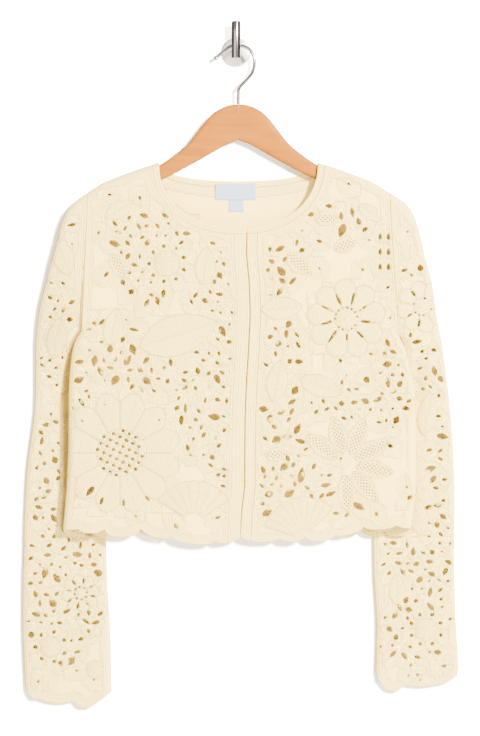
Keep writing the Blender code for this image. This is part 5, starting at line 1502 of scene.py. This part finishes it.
class CROCHET_OT_sleeves(bpy.types.Operator):
    """Make both sleeves, each from a front and a back half"""
    bl_idname = "crochet.sleeves"
    bl_label = "Sleeves"

    def execute(self, context):
        cell = context.scene.crochet_yarn.sleeve_cell
        for side in SIGN:
            loop, gaps = sleeve_outline(side), []
            for part, face, coarse in (("front", -1, 1.0), ("back", 1, 1.3)):
                panel = f"sleeve_{side}_{part}"
                form = sleeve_surface(panel, side, face)
                gaps = gaps_of(panel, loop, form[1], gaps)
                cloth(panel, loop, form, face, cell * coarse, gaps)
        return {"FINISHED"}


class CROCHET_OT_labels(bpy.types.Operator):
    """Make the two blank satin labels inside the back neck"""
    bl_idname = "crochet.labels"
    bl_label = "Labels"

    def execute(self, context):
        satin = satin_material()
        label("large", LABEL_BOX, satin)
        label("small", TAB_BOX, satin)
        return {"FINISHED"}


class CROCHET_OT_hanger(bpy.types.Operator):
    """Make the hanger's two wooden arms and its wire hook"""
    bl_idname = "crochet.hanger"
    bl_label = "Hanger"

    def execute(self, context):
        finish = context.scene.crochet_hanger
        wood = wood_material(finish)
        for side in SIGN:
            hanger_arm(side, wood)
        wire = chrome_material("chromed_wire", finish.chrome, 0.16, (300.0, 300.0, 300.0))
        swept("hanger_wire", wire_rings(), wire, "hanger_hook")
        return {"FINISHED"}


class CROCHET_OT_wall_hook(bpy.types.Operator):
    """Make the wall hook: its plate, its post and its bar"""
    bl_idname = "crochet.wall_hook"
    bl_label = "Wall Hook"

    def execute(self, context):
        finish = context.scene.crochet_hanger
        chrome = chrome_material("chromed_bar", finish.chrome, 0.14, (900.0, 900.0, 30.0))
        plate = chrome_material("chromed_plate", "#E9E6E1", 0.30, (200.0, 200.0, 200.0))
        post_start, post_end = -PLATE_THICK - SEAM, BAR_Y + BAR_RADIUS + SEAM
        turned_rod("plate", PLATE_RADIUS, (0, 0, 0), (0, -PLATE_THICK, 0), plate,
                   PLATE_BEVEL, both_ends=False)
        turned_rod("post", POST_RADIUS, (0, post_start, 0), (0, post_end, 0), chrome,
                   POST_BEVEL)
        turned_rod("bar", BAR_RADIUS, (0, BAR_Y, BAR_BOTTOM), (0, BAR_Y, BAR_TOP), chrome,
                   BAR_BEVEL)
        return {"FINISHED"}


def area_light(name, place, size, power, colour="#FFFFFF"):
    """A soft light that points at the garment's middle."""
    lamp = bpy.data.lights.new(name, "AREA")
    lamp.shape = "SQUARE"
    lamp.size, lamp.energy, lamp.color = size, power, linear(colour)[:3]
    made = in_scene(name, lamp)
    made.location = place
    made.rotation_euler = (Vector(LOOK_AT) - Vector(place)).to_track_quat("-Z", "Y").to_euler()
    return made


def plain_sheet(name, size, place, axis, material, unseen=()):
    """A flat sheet of the studio, turned a quarter about an axis. Some rays pass it by."""
    quarter = Matrix.Rotation(math.radians(90), 4, axis) if axis else Matrix.Identity(4)
    made = bmesh.new()
    bmesh.ops.create_grid(made, x_segments=1, y_segments=1, size=size / 2)
    bmesh.ops.transform(made, matrix=Matrix.Translation(place) @ quarter, verts=made.verts)
    shown = in_scene(name, mesh_of(name, made))
    shown.data.materials.append(material)
    for ray in unseen:
        setattr(shown, f"visible_{ray}", False)
    return shown


class CROCHET_OT_stage(bpy.types.Operator):
    """Make the floor, the wall, the lights and the camera"""
    bl_idname = "crochet.stage"
    bl_label = "Stage"

    def execute(self, context):
        scene, studio = context.scene, context.scene.crochet_studio
        # Smooth emulsion paint, matt and white
        paint, tree, shader, place = new_material("white_paint", 0.9, Base_Color=linear("#FBFBFC"))
        bumped(tree, shader, noise(tree, place, 300.0), 0.02)
        plain_sheet("floor", 8.0, (0.0, 0.0, -studio.floor_drop), None, paint)
        # The wall is seen from the front only, and only the camera sees it
        wall_paint, tree, shader, _ = new_material("white_wall_paint", 0.9)
        tree.nodes.remove(shader)
        matt = node(tree, "ShaderNodeBsdfDiffuse", in_0=linear("#F4F4F5")).outputs[0]
        facing = node(tree, "ShaderNodeNewGeometry").outputs["Backfacing"]
        clear = node(tree, "ShaderNodeBsdfTransparent").outputs[0]
        mix = node(tree, "ShaderNodeMixShader", {0: facing, 1: matt, 2: clear})
        tree.links.new(mix.outputs[0], tree.nodes["Material Output"].inputs["Surface"])
        wall = plain_sheet("wall", 8.0, (0.0, WALL_Y, 0.0), "X", wall_paint,
                           ("diffuse", "glossy", "transmission", "shadow"))
        # Dark cards at both sides, which only polished metal sees
        card_paint = new_material("black_card", 0.9, Base_Color=linear("#3A3638"))[0]
        for side, sign in SIGN.items():
            plain_sheet(f"card_{side}", 1.3, (sign * 1.2, -0.1, 0.0), "Y", card_paint,
                        ("camera", "diffuse", "transmission", "shadow"))
        scene.world = bpy.data.worlds.new("studio")
        scene.world.use_nodes = True
        surround = scene.world.node_tree.nodes["Background"]
        surround.inputs[0].default_value = linear("#FFF2DE")
        surround.inputs[1].default_value = studio.world
        area_light("key", (1.90, -3.10, 1.00), 0.36, studio.key, "#FFF1DC")
        area_light("fill", (-0.9, -1.9, -0.2), 1.6, 0.030 * studio.key, "#FFF4E2")
        # A second lamp, nearer the camera, lights only the wall, which whitens round the shadow
        wall_key = area_light("wall_key", (0.75, -3.10, 0.10), 0.30, studio.wall_key * studio.key)
        lit = bpy.data.collections.new("lit_by_wall_key")
        lit.objects.link(wall)
        wall_key.light_linking.receiver_collection = lit
        area_light("behind", (0.3, 1.6, 0.2), 2.0, 0.09 * studio.key)
        lens = bpy.data.cameras.new("camera")
        lens.sensor_width = SENSOR_MM
        lens.lens = SENSOR_MM * (CAMERA_AWAY + HANG_Y) / SEEN_HEIGHT
        scene.camera = in_scene("camera", lens)
        scene.camera.location = (LOOK_AT[0], -CAMERA_AWAY, LOOK_AT[2])
        scene.camera.rotation_euler = (math.radians(90), 0.0, 0.0)
        return {"FINISHED"}


OPERATORS = (
    CROCHET_OT_hanger, CROCHET_OT_back, CROCHET_OT_fronts, CROCHET_OT_sleeves,
    CROCHET_OT_labels, CROCHET_OT_wall_hook, CROCHET_OT_stage,
)
GROUPS = {
    "crochet_yarn": CrochetYarn, "crochet_hanger": HangerFinish, "crochet_studio": StudioLight,
}


class CROCHET_PT_panel(bpy.types.Panel):
    """Lists the steps that build the cardigan"""
    bl_label = "Crochet Cardigan"
    bl_idname = "CROCHET_PT_panel"
    bl_space_type = "VIEW_3D"
    bl_region_type = "UI"
    bl_category = "Cardigan"

    def draw(self, context):
        for group in GROUPS:
            held = getattr(context.scene, group)
            for name in held.__annotations__:
                self.layout.prop(held, name)
        for operator in OPERATORS:
            self.layout.operator(operator.bl_idname)


CLASSES = (*GROUPS.values(), *OPERATORS, CROCHET_PT_panel)


def register():
    for made in CLASSES:
        bpy.utils.register_class(made)
    for name, group in GROUPS.items():
        setattr(bpy.types.Scene, name, bpy.props.PointerProperty(type=group))


def unregister():
    for name in GROUPS:
        delattr(bpy.types.Scene, name)
    for made in reversed(CLASSES):
        bpy.utils.unregister_class(made)


def main():
    register()
    for operator in OPERATORS:
        getattr(bpy.ops.crochet, operator.bl_idname.split(".")[1])()


if __name__ == "__main__":
    main()
